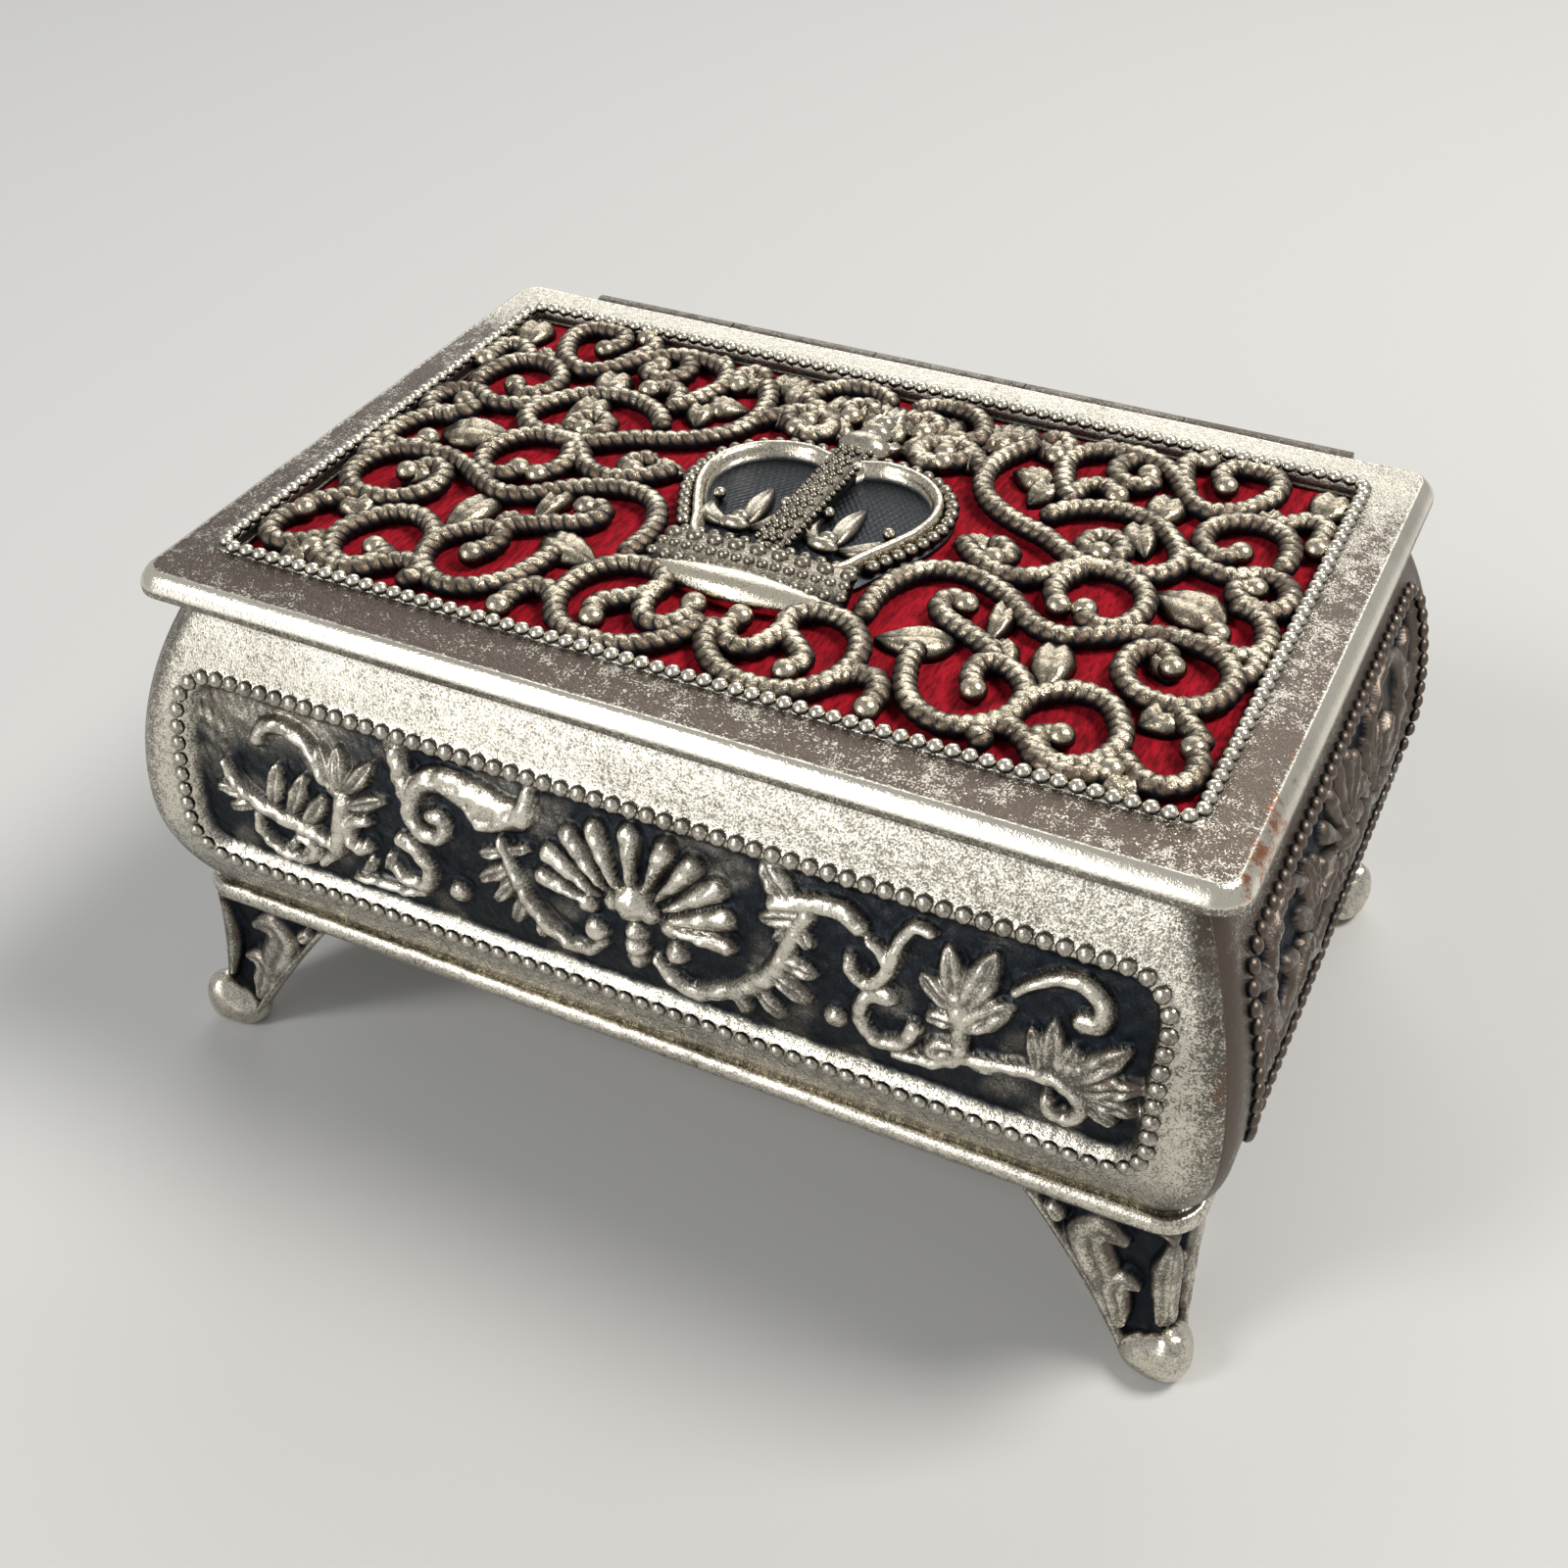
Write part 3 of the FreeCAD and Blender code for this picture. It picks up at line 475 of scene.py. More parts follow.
def makeLidBorder():
    # profile carried round the lid: edge face, round shoulder, arris, sloping border, bead rail
    s, c = lidBorder, casket
    halfX, halfY, corner, lidZ = c["halfX"], c["halfY"], c["lidCorner"], c["lidZ"]
    pocket = (c["pocketX"], c["pocketY"], corner)
    rows = [(*pocket, lidZ + s["under"]), (halfX - 0.3, halfY - 0.3, corner - 0.2, lidZ + s["under"])]
    rows += [(halfX, halfY, corner, lidZ + h) for h in (0.3, *np.linspace(0.5, s["edge"], 3))]
    edgeRows = len(rows)
    for a in np.linspace(0.25, math.pi / 2 - 0.08, 9):
        o = s["shoulder"] * (1 - math.cos(a) ** s["bevel"])
        rise = s["shoulderHigh"] * math.sin(a) ** s["bevel"]
        rows.append((halfX - o, halfY - o, corner - o, lidZ + s["edge"] + rise))
    shoulderRows = len(rows)
    stepX, stepY, stepCorner = halfX - s["step"], halfY - s["step"], corner - s["step"]
    rows.append((stepX, stepY, stepCorner, c["shoulderZ"] - 0.03))
    railX, railY = c["beadX"] + s["railOut"], c["beadY"] + s["railOut"]
    for f in np.linspace(0.05, 1, 22):
        z = c["shoulderZ"] + (c["borderZ"] - c["shoulderZ"]) * f ** 1.3
        rows.append((stepX + (railX - stepX) * f, stepY + (railY - stepY) * f,
                     stepCorner + (s["railCorner"] - stepCorner) * f, z))
    borderRows = len(rows)
    rail = ((0.08, 0.10), (0.2, s["railHigh"]), (0.9, s["railHigh"]), (1.02, 0.10), (s["railWide"], -0.4))
    for o, z in rail:
        rows.append((railX - o, railY - o, s["railCorner"] - o / 2, c["borderZ"] + z))
    rows.append((railX - s["railWide"], railY - s["railWide"], s["railCorner"] / 2, c["pocketZ"]))
    rows.append((*pocket, c["pocketZ"]))
    x, y, height = carried(rows, s["sideSteps"], s["cornerSteps"])
    rowNumber = np.arange(len(rows))[:, None] + 0 * x
    upper = (rowNumber > 2) & (rowNumber < borderRows + len(rail))
    height = height + upper * s["wobble"] * ripple(x, y, height, 14.0, 3)
    border = (rowNumber >= shoulderRows) & (rowNumber < borderRows)
    shoulder = (rowNumber >= edgeRows) & (rowNumber < shoulderRows)
    nearRail = smoothstep(borderRows - 7, borderRows, rowNumber)
    # oxide and painted shade: the border darker towards the bead rail, the rail and the drop under the
    # scrolls dark
    tone = np.where(rowNumber >= borderRows, 0.32, 1 - 0.30 * nearRail)
    # stained most at the front and left, less at the right, with copper towards the right front corner
    front = smoothstep(-20, -27, y)
    back = smoothstep(20, 27, y)
    right = smoothstep(40, 45, x) * (1 - front) * (1 - back)
    left = smoothstep(-40, -45, x) * (1 - front) * (1 - back)
    rubbedCorner = smoothstep(38, 47, x)
    stain = front * (0.57 - 0.12 * rubbedCorner) + right * (0.26 + 0.22 * smoothstep(24, 2, y)) + left * 0.58
    tarnish = border * (stain + 0.08 * back) - 0.22 * shoulder + 0.25 * (rowNumber < edgeRows)
    nearRight = smoothstep(44, 49.5, x) * smoothstep(14, -30, y)
    outward = smoothstep(shoulderRows + 8, shoulderRows - 4, rowNumber)
    copper = (shoulder | border) * 0.62 * nearRight * outward - 0.25
    skin = hoop(np.stack([x, y, height], -1), tone=tone, tarnish=tarnish, copper=copper,
                frost=1 - 0.5 * shoulder + 0.6 * border)
    spot, way = rowRound(roundedLoop(c["beadX"], c["beadY"], s["beadCorner"]), s["beadPitch"])
    centres = np.column_stack([spot, np.full(len(spot), c["borderZ"] + s["beadLift"])])
    row = flatBeads(centres, s["beadSize"], way, tarnish=-0.05)
    piece("lidBorder", [skin, row], "lid", "lid_frame", castPlate)


makeLidBorder()


# pierced scrollwork of the lid

scrollwork = {
    "half": 1.12, "rise": 1.90, "ropePitch": 1.15, "ropeDeep": 0.20, "ropeTwist": 0.34,
    "step": 0.19, "around": 12, "leafWider": 1.35, "leafRise": 1.75, "leafReach": (-25.35, 43.4),
    "ballSize": (1.22, 1.22, 1.08), "ballLift": 1.0, "reachX": 42.9, "reachY": 24.95,
    # band at the edge: inset from the beads, corner, height
    "band": ((0.50, 0.5, 0.0), (0.50, 0.5, 0.35), (0.7, 0.4, 0.40), (0.9, 0.4, 0.35), (0.95, 0.4, 0.0)),
}
# right half of the scrolls in plan, each ending in a ball but those in plainEnds
scrolls = {
    "lowerLoop": [(0.6, -18.0), (1.2, -21.2), (3.8, -24.0), (7.5, -25.1), (11.0, -24.0), (13.0, -21.2),
                  (13.4, -18.0), (12.2, -15.0), (10.0, -13.4), (7.5, -13.4), (6.1, -14.8), (6.5, -17.0),
                  (8.2, -18.5), (9.6, -20.2), (9.0, -22.2)],
    "lowerHook": [(6.3, -15.5), (6.0, -18.5), (4.8, -20.5), (3.0, -20.5), (1.9, -18.8), (2.2, -16.8)],
    "tail": [(12.9, -21.8), (14.2, -20.2), (15.9, -20.1), (16.9, -21.5), (17.0, -24.0)],
    "ring": [(17.2, -14.0), (17.6, -17.5), (18.8, -20.5), (20.8, -22.5), (23.2, -23.2), (25.8, -22.1),
             (27.4, -19.8), (27.6, -17.0), (26.2, -14.8), (24.2, -13.8), (22.8, -14.5), (22.8, -16.5),
             (23.6, -18.1)],
    "archCurl": [(24.0, -14.0), (22.5, -12.2), (20.2, -10.8), (18.0, -9.8), (16.6, -8.2), (17.0, -6.6),
                 (18.5, -7.0)],
    "arch": [(11.4, -12.8), (11.1, -9.0), (11.8, -5.8), (13.5, -3.4), (16.0, -2.5), (18.6, -3.0),
             (21.0, -4.2), (22.8, -5.8), (24.8, -7.4), (27.2, -8.0), (30.0, -6.8), (32.5, -5.2),
             (35.5, -4.4), (38.5, -4.6), (40.8, -6.0), (41.9, -8.5), (41.5, -11.2), (39.5, -13.2),
             (36.8, -13.5), (34.5, -12.2), (33.2, -9.8), (33.8, -7.2), (35.4, -6.5), (36.9, -8.5)],
    "cornerCurl": [(27.2, -19.2), (28.5, -16.5), (31.0, -14.8), (33.8, -15.2), (35.6, -17.5),
                   (36.2, -20.5), (35.0, -23.2), (32.8, -24.2), (30.8, -23.0), (30.5, -21.2),
                   (31.9, -20.8)],
    "footKnob": [(27.2, -24.5), (26.1, -23.2), (26.5, -21.8), (28.2, -21.5), (30.0, -22.8),
                 (31.6, -24.5), (34.5, -24.8), (36.8, -23.2)],
    "cornerStem": [(38.8, -13.5), (40.8, -15.8), (42.5, -17.6)],
    "cornerBow": [(36.8, -20.8), (38.5, -22.8), (40.6, -23.6), (42.3, -22.2), (42.5, -19.8),
                  (41.6, -18.0)],
    "linkStem": [(14.2, 2.6), (15.9, 0.8), (17.8, -0.8), (20.5, -1.3), (22.8, -0.1), (24.5, 2.0),
                 (27.2, 3.1), (30.1, 2.5), (31.9, 0.2), (32.2, -2.5), (30.9, -5.0), (28.6, -5.1),
                 (27.8, -3.6)],
    "linkInner": [(25.8, 2.5), (24.5, 0.0), (24.6, -2.2), (25.6, -3.9)],
    "linkCurl": [(16.5, 3.2), (18.3, 2.7), (19.1, 1.4), (18.0, 0.6)],
    "longStem": [(14.5, 21.8), (12.8, 18.5), (12.0, 15.2), (12.6, 11.8), (15.0, 8.8), (17.8, 7.1),
                 (20.5, 6.1), (23.0, 4.5), (25.2, 3.1), (28.0, 3.0)],
    "middleCurl": [(19.4, 8.8), (20.8, 10.9), (23.5, 12.6), (26.8, 12.9), (29.8, 11.5), (32.0, 9.0),
                   (32.8, 6.2), (31.5, 4.0), (29.0, 3.4), (27.4, 4.4)],
    "middleRing": [(27.4, 4.4), (27.8, 6.6), (26.4, 8.1), (24.7, 7.6), (24.6, 5.6), (26.1, 5.4)],
    "topWave": [(21.2, 12.6), (20.0, 14.0), (18.8, 16.5), (18.1, 19.2), (18.9, 21.6), (21.2, 22.9),
                (24.2, 23.2), (26.8, 22.2), (28.5, 20.4), (30.2, 17.9), (32.4, 16.2), (34.8, 17.1),
                (36.5, 19.5), (37.4, 22.0), (36.8, 24.2), (34.5, 25.4), (32.4, 24.5), (31.9, 22.6),
                (32.8, 21.0)],
    "topInner": [(24.2, 23.0), (22.9, 21.0), (23.1, 18.9), (24.8, 17.7), (26.4, 18.5), (25.8, 20.1)],
    "topHook": [(29.9, 18.6), (28.8, 21.4), (28.4, 23.8), (30.0, 24.9)],
    "sprig": [(20.6, 13.2), (21.2, 15.8), (22.8, 16.6), (24.3, 15.2)],
    "endCurl": [(41.0, 8.8), (41.1, 12.0), (40.0, 14.8), (37.5, 16.0), (35.0, 15.2), (33.5, 13.2),
                (33.8, 10.5), (35.5, 9.1), (37.1, 10.5)],
    "endHook": [(37.9, 16.0), (39.5, 16.8), (40.8, 18.1), (42.5, 17.9), (43.2, 16.0), (43.1, 14.0)],
    "endWave": [(32.0, 9.0), (33.2, 8.0), (35.0, 6.9), (37.5, 6.6), (40.0, 7.9), (42.1, 7.0),
                (42.9, 4.5), (41.8, 2.5), (39.5, 3.0), (38.4, 4.6), (39.8, 5.5)],
    "endRing": [(38.5, 2.5), (41.0, 1.8), (42.5, -0.5), (42.8, -3.5), (41.2, -4.8), (39.2, -4.1),
                (38.8, -2.4)],
    "endLink": [(42.7, -3.5), (43.1, -6.0), (41.8, -8.0)],
    "crestCurl": [(11.8, 14.0), (10.2, 16.2), (8.0, 17.8), (5.6, 17.1), (4.8, 15.1), (5.9, 13.4),
                  (7.6, 14.2)],
    "crestRing": [(9.8, 17.4), (8.8, 15.0), (6.6, 13.8), (4.8, 14.8), (5.0, 16.8), (6.6, 17.2),
                  (7.2, 15.9)],
    "crestArc": [(0.9, 22.4), (3.2, 24.2), (6.4, 24.2), (8.6, 22.4), (9.0, 19.8), (7.4, 18.6)],
    "crestHook": [(1.4, 19.6), (3.4, 21.4), (4.8, 20.2), (3.8, 18.6)],
    "crestBow": [(14.5, 21.8), (16.1, 23.1), (17.5, 21.8), (16.8, 19.8)],
}
plainEnds = ("longStem", "cornerStem", "middleCurl", "endLink")
# right half of the leaves: base, tip, width, sideways bend
scrollLeaves = [
    ((10.2, 18.6), (11.0, 24.6), 3.2, 0.3), ((5.2, 18.2), (6.0, 23.6), 3.0, 0.2),
    ((2.4, 18.8), (2.0, 24.4), 2.8, 0.1), ((3.0, 15.0), (6.4, 19.4), 2.8, -0.3),
    ((12.6, 20.4), (12.8, 25.0), 2.8, 0.1), ((19.8, -12.0), (13.1, -14.1), 3.2, 0.3),
    ((21.4, -4.1), (22.0, -10.9), 1.9, 0.2), ((22.6, -10.1), (24.7, -14.1), 2.2, 0.2),
    ((27.1, -8.1), (28.4, -15.5), 2.8, 0.2), ((39.0, -13.6), (36.6, -16.4), 3.0, 0.1),
    ((38.9, -25.8), (36.8, -21.8), 2.6, 0.2), ((17.6, 2.4), (13.4, 3.1), 2.4, 0.2),
    ((18.4, 15.4), (13.8, 16.5), 2.6, 0.2), ((18.1, 15.4), (17.2, 11.4), 2.3, 0.1),
    ((27.4, 12.6), (29.6, 7.2), 2.7, -0.2), ((28.9, 18.1), (28.3, 12.3), 3.0, 0.2),
    ((36.9, 18.6), (38.9, 16.1), 2.2, 0.1), ((42.4, 24.7), (41.4, 19.1), 3.1, 0.2),
    ((38.9, -0.1), (31.9, 2.1), 4.0, -0.3), ((9.5, 18.5), (10.2, 23.4), 2.7, 0.1),
    ((6.1, 18.0), (5.2, 22.7), 2.6, 0.1), ((2.9, 18.4), (1.9, 23.1), 2.6, 0.1),
    ((12.1, 20.2), (11.2, 25.1), 2.6, 0.1), ((14.6, 22.9), (17.4, 19.2), 2.5, 0.1),
    ((21.0, 22.7), (21.3, 25.6), 2.8, 0.0), ((1.0, 16.0), (0.4, 20.5), 2.6, 0.0),
    ((8.8, 15.8), (11.1, 16.4), 2.2, 0.0), ((35.0, -6.8), (37.1, -9.6), 1.8, 0.1),
]


def ropeTube(path, at, low):
    # round wire laid along a path, cut by slanting grooves a pitch apart, with rounded ends
    s = scrollwork
    half, rise = s["half"], s["rise"]
    way = np.gradient(path, axis=0)
    way /= np.linalg.norm(way, axis=1)[:, None]
    side = np.stack([-way[:, 1], way[:, 0]], 1)
    angle = roundAngles(s["around"])[None]
    turn = at[:, None] / s["ropePitch"] + s["ropeTwist"] * np.sin(angle) * np.sign(np.cos(angle))
    swellOut = np.abs(np.sin(math.pi * turn)) ** 0.55
    uneven = 1 + 0.06 * ripple(path[:, :1], path[:, 1:], 3 * angle, 5.0, 71)
    girth = uneven * (1 - s["ropeDeep"] * (1 - swellOut))
    fromEnd = np.minimum(at, at[-1] - at) + 0.02
    taper = np.sqrt(np.clip(1 - (1 - np.clip(fromEnd / half, 0, 1)) ** 2, 0.02, 1))[:, None]
    out = np.cos(angle) * half * girth * taper
    z = np.maximum(low + rise * (0.5 + 0.5 * np.sin(angle) * girth * taper), low)
    p = np.concatenate([path[:, None] + side[:, None] * out[..., None], z[..., None]], -1)
    share = (z - low) / rise
    # painted shade on the wire's low flanks over the velvet, and oxide with painted shade in its grooves
    tone = smoothstep(0.40, 1.0, share) * (0.20 + 0.75 * smoothstep(0.30, 0.90, swellOut))
    tarnish = 0.58 - 0.62 * smoothstep(0.84, 1.0, share) + 0.18 * ripple(p[..., 0], p[..., 1], z, 4.0, 72)
    return tube(p, tone=tone, tarnish=tarnish, frost=0.75)


def leafBlade(base, tip, width, bend, low, rise, veins=5):
    # pointed leaf: width follows a skewed arch, top is domed, with a midrib groove and slanting veins
    base, tip = np.array(base), np.array(tip)
    u = np.linspace(0.02, 0.98, 26)[:, None]
    along = tip - base
    side = np.array([-along[1], along[0]]) / np.linalg.norm(along)
    spine = base + u * along + bend * 4 * u * (1 - u) * side
    half = width / 2 * np.sin(math.pi * u ** 0.75) ** 0.8 + 0.04
    angle = roundAngles(16)[None]
    v = np.cos(angle)
    midrib = np.exp(-(v / 0.16) ** 2)
    vein = np.abs(np.sin(math.pi * veins * (u - 0.35 * np.abs(v))))
    tall = rise * (0.35 + 0.65 * np.sin(math.pi * u ** 0.8))
    z = low + tall * dome(angle, 0.8) * (1 - 0.30 * midrib - 0.16 * (1 - vein) * (1 - midrib))
    p = np.concatenate([spine[:, None] + side * (half * v)[..., None], z[..., None]], -1)
    share = (z - low) / rise
    # painted shade on the leaf's low edges, oxide and painted shade in its midrib and between its veins
    tone = smoothstep(0.1, 0.75, share) * (1 - 0.5 * midrib) * (0.6 + 0.4 * vein)
    return tube(p, tone=tone, tarnish=0.30 - 0.26 * smoothstep(0.45, 0.90, share), frost=0.45)


def makeScrollwork():
    # ropes that end in balls and the leaves between them, both mirrored, and a flat band that carries them
    s, c = scrollwork, casket
    low = c["pocketZ"]
    shells, balls = [], []
    for name, points in scrolls.items():
        path, at = smoothPath(points, s["step"])
        path = np.clip(path, (-s["reachX"], -s["reachY"]), (s["reachX"], s["reachY"]))
        shells.append(ropeTube(path, at, low))
        if name not in plainEnds:
            balls.append((*path[-1], low + s["ballLift"]))
    for base, tip, width, bend in scrollLeaves:
        base = np.clip(base, *s["leafReach"])
        shells.append(leafBlade(base, tip, s["leafWider"] * width, bend, low, s["leafRise"]))
    shells.append(flatBeads(balls, s["ballSize"], steps=(14, 9)))
    shells += [moved(part, mirrorX=True) for part in shells]
    rows = [(c["beadX"] - o, c["beadY"] - o, corner, low + lift) for o, corner, lift in s["band"]]
    # painted shade: the band between the beads and the scrolls is kept dark
    shells.append(hoop(np.stack(carried(rows, 60, 4), -1), tone=0.22))
    piece("lidScrollwork", shells, "lid", "lid_filigree", scrollPlate)


makeScrollwork()


# crown in the middle of the lid

crown = {
    "ground": 0.75, "rimTop": 2.3, "middle": (5.4, 1.4), "beadIn": 0.42, "beadPitch": 1.42, "beadLift": 1.30,
    "beadSize": (0.68, 0.72, 0.66), "strapHalf": 1.65, "strapFrom": -7.2, "strapTo": 12.0, "strapTop": 3.0,
    "flowerPitch": 2.05, "petalOut": 0.72, "edgeBeadOut": 1.45, "edgeBead": (0.36, 0.36, 0.36),
    "barHalf": 9.9, "barY": -13.2, "barThick": 2.0, "bandTop": -6.6, "bandLow": -12.4, "bandTall": 2.55,
    # rows of beads on the band: share of its depth, size, pitch
    "bandRows": ((0.10, 0.62, 1.25), (0.36, 0.85, 1.75), (0.62, 0.58, 1.15), (0.86, 0.62, 1.25)),
    # blades: tip, base, width, sideways bend
    "fleurBlades": (((4.7, 3.6), (4.3, -3.8), 2.3, 0.1), ((8.4, -0.2), (4.9, -4.1), 2.0, -1.5),
                    ((2.0, 0.8), (3.7, -4.1), 1.9, 1.3)),
    "topBlades": (((3.4, 16.2), (0.6, 14.0), 1.6, -0.4), ((-3.4, 16.2), (-0.6, 14.0), 1.6, 0.4),
                  ((0.0, 23.6), (0.0, 18.6), 2.6, 0.0)),
    # balls: place over the ground of the lid, half sizes
    "fleurBalls": (((4.3, -3.9, 1.9), (0.9, 0.7, 0.8)), ((4.3, -5.2, 2.0), (1.5, 0.8, 0.8)),
                   ((8.4, -0.1, 1.4), (0.6, 0.6, 0.6)), ((2.1, 0.9, 1.4), (0.6, 0.6, 0.6))),
    "topBalls": (((0.0, 13.2, 0.8), (2.8, 2.0, 2.1)), ((0.0, 16.0, 1.0), (1.7, 1.2, 1.5)),
                 ((0.0, 18.2, 0.9), (1.1, 1.1, 1.3))),
}
# outline of the right arch, from the strap over the top and down under the band
archOutline = [(0.4, 10.6), (3.6, 11.6), (6.8, 11.3), (9.7, 9.8), (11.9, 7.2), (12.8, 3.8), (12.4, 0.4),
               (11.2, -2.6), (9.8, -5.4), (8.4, -8.4), (6.0, -10.2), (2.4, -10.6), (-0.6, -8.4), (-1.3, 0.0),
               (-1.3, 7.0)]


def archLoop(inset, count):
    # closed smooth outline of the arch, moved in by inset along its own normal
    path, at = smoothPath(archOutline + archOutline[:1], 0.05)
    loop = pointsAt(np.linspace(0, at[-1], count + 1)[:-1], at, path)
    way = np.roll(loop, -3, 0) - np.roll(loop, 3, 0)
    way /= np.linalg.norm(way, axis=1)[:, None]
    return loop + inset * np.stack([way[:, 1], -way[:, 0]], 1)


def crownBalls(balls, low, steps):
    # balls of their own sizes, their heights measured from low
    spots = np.array([place for place, size in balls]) + [0, 0, low]
    return flatBeads(spots, [size for place, size in balls], steps=steps)


def crownArch(low):
    # right arch: outer foot, smooth flat rim, sunk ground hatched by two sets of fine lines, beads, fleur
    s, top = crown, crown["rimTop"]
    count, groundRows = 200, 40
    rows = [(0.05, 0.0), (0.0, 0.3), (0.1, 0.45), (1.10, 0.6), (1.2, 1.7), (1.32, top - 0.1), (1.5, top),
            (1.85, top - 0.08), (2.2, top - 0.6), (2.4, s["ground"])]
    loops = [archLoop(inset, count) for inset, height in rows]
    middle = np.array(s["middle"])
    loops += [middle + (loops[-1] - middle) * f for f in np.linspace(0.97, 0.03, groundRows)]
    loops = np.stack(loops)
    heights = [height for inset, height in rows] + [s["ground"]] * groundRows
    rise = np.array(heights)[:, None] + np.zeros(count)
    ground = (np.arange(len(rise)) >= len(rows))[:, None]
    hatch = np.abs(np.sin(math.pi * (loops[..., 0] * 0.80 + loops[..., 1] * 0.60) / 0.50))
    crossed = np.abs(np.sin(math.pi * (loops[..., 0] * 0.95 - loops[..., 1] * 0.30) / 0.62))
    rise = rise + ground * (0.06 * hatch + 0.04 * crossed)
    # painted shade on the rim's low rows at its foot and down into the ground; the sunk ground black with
    # oxide and painted shade, lighter where the two hatchings cross
    tone = np.where(ground, 0.04 + 0.26 * (hatch * crossed) ** 4, smoothstep(0.6, 2.0, rise))
    shells = [tube(np.concatenate([loops, low + rise[..., None]], -1), tone=tone,
                   tarnish=0.2 * ground + 0 * rise, frost=0.6)]
    ring, ahead = rowRound(archLoop(s["beadIn"], 400), s["beadPitch"], 0.3)
    keep = (ring[:, 0] > s["strapHalf"] + 0.3) & (ring[:, 1] > s["bandTop"] + 0.4)
    spots = np.column_stack([ring, np.full(len(ring), low + s["beadLift"])])
    shells.append(flatBeads(spots[keep], s["beadSize"], ahead[keep], steps=(10, 6), tarnish=0.2))
    for tip, base, width, bend in s["fleurBlades"]:
        shells.append(leafBlade(base, tip, width, bend, low + s["ground"] - 0.1, 1.25, veins=1))
    return shells + [crownBalls(s["fleurBalls"], low, (14, 8))]


def crownStrap(low):
    # domed bar over the middle, set with a chain of six-petalled flowers and beads along both edges
    s = crown
    v = np.linspace(s["strapFrom"], s["strapTo"], 90)[:, None]
    angle = roundAngles(16)[None]
    out = s["strapHalf"] * np.sign(np.cos(angle)) * np.abs(np.cos(angle)) ** 0.6
    arch = 1 - 0.10 * ((v - 2.5) / 9.5) ** 2
    z = low + dome(angle, 0.6) * ((s["strapTop"] - 0.35) * arch)
    # painted shade and oxide: the strap darker down its sides, at most half bright on top
    bar = tube(np.stack(np.broadcast_arrays(out, v, z), -1), tone=smoothstep(1.2, 2.6, z - low) * 0.5,
               tarnish=0.25)
    top = low + s["strapTop"] - 0.42
    spots, sizes = [], []
    for y in np.arange(s["strapFrom"] + 1.0, s["strapTo"] - 0.8, s["flowerPitch"]):
        spots.append((0, y, top + 0.05))
        sizes.append((0.42, 0.42, 0.38))
        for a in roundAngles(6):
            spots.append((s["petalOut"] * math.cos(a), y + s["petalOut"] * math.sin(a), top - 0.02))
            sizes.append((0.38, 0.30, 0.30))
        for side in (-1, 1):
            for ahead in (0.1, 1.1):
                spots.append((side * s["edgeBeadOut"], y + ahead, top - 0.55))
                sizes.append(s["edgeBead"])
    return [bar, flatBeads(spots, sizes, tarnish=0.22)]


def crownBand(low):
    # swelling block under four rows of beads, which follow its bow and its round top
    s = crown
    deep = s["bandLow"] - s["bandTop"]
    u = np.linspace(-1, 1, 60)[:, None]
    angle = roundAngles(24)[None]
    f = 0.5 - 0.5 * np.cos(angle)
    y = s["bandTop"] + deep * f - 0.8 * (1 - u ** 2) * f
    z = low + dome(angle, 0.5) * (s["bandTall"] - 0.5 * u ** 2)
    # painted shade and oxide: the band darker down its sides, at most about half bright on top
    block = tube(np.stack([u * (8.3 + 1.2 * f), y, z], -1), tone=smoothstep(1.0, 2.3, z - low) * 0.55,
                 tarnish=0.25)
    spots, sizes = [], []
    for share, size, pitch in s["bandRows"]:
        reach = 8.0 + 1.2 * share
        xs = np.linspace(-reach, reach, int(2 * reach / pitch))
        bow = (xs / reach) ** 2
        ys = s["bandTop"] + deep * share - 0.8 * (1 - bow) * share
        zs = low + (s["bandTall"] - 0.5 * bow) * (1 - (2 * share - 1) ** 2) ** 0.25 - 0.05
        spots += list(zip(xs, ys, zs))
        sizes += [(size, size * 0.9, size * 0.8)] * len(xs)
    return [block, flatBeads(spots, sizes, tarnish=0.22)]


def crownBar(low):
    # polished bar along the foot: thick in the middle, drawn out to both ends
    s = crown
    t = np.linspace(-1, 1, 80)[:, None]
    thick = s["barThick"] * (0.06 + 0.94 * np.clip(1 - np.abs(t) ** 1.7, 0, 1) ** 0.8)
    angle = roundAngles(28)[None]
    y = s["barY"] + 0.9 * t ** 2 + thick * 1.05 * np.cos(angle)
    z = np.maximum(low + 0.9 + 0.9 * thick * np.sin(angle), low)
    # painted shade: the bar darker towards its foot
    return tube(np.stack(np.broadcast_arrays(t * s["barHalf"], y, z), -1),
                tone=0.45 + 0.55 * smoothstep(0.3, 1.2, z - low), tarnish=-0.12, frost=0.6)


def makeCrown():
    # two mirrored arches, strap, jewelled band, bar at the foot, and the orb with its leaves at the top
    low = casket["pocketZ"]
    half = crownArch(low)
    shells = half + [moved(part, mirrorX=True) for part in half]
    shells += crownStrap(low) + crownBand(low)
    shells += [crownBar(low), crownBalls(crown["topBalls"], low, (20, 12))]
    for tip, base, width, bend in crown["topBlades"]:
        shells.append(leafBlade(base, tip, width, bend, low, 1.7, veins=3))
    piece("lidCrown", shells, "lid", "lid_crown", polishedPlate)


makeCrown()


# cast sides in relief

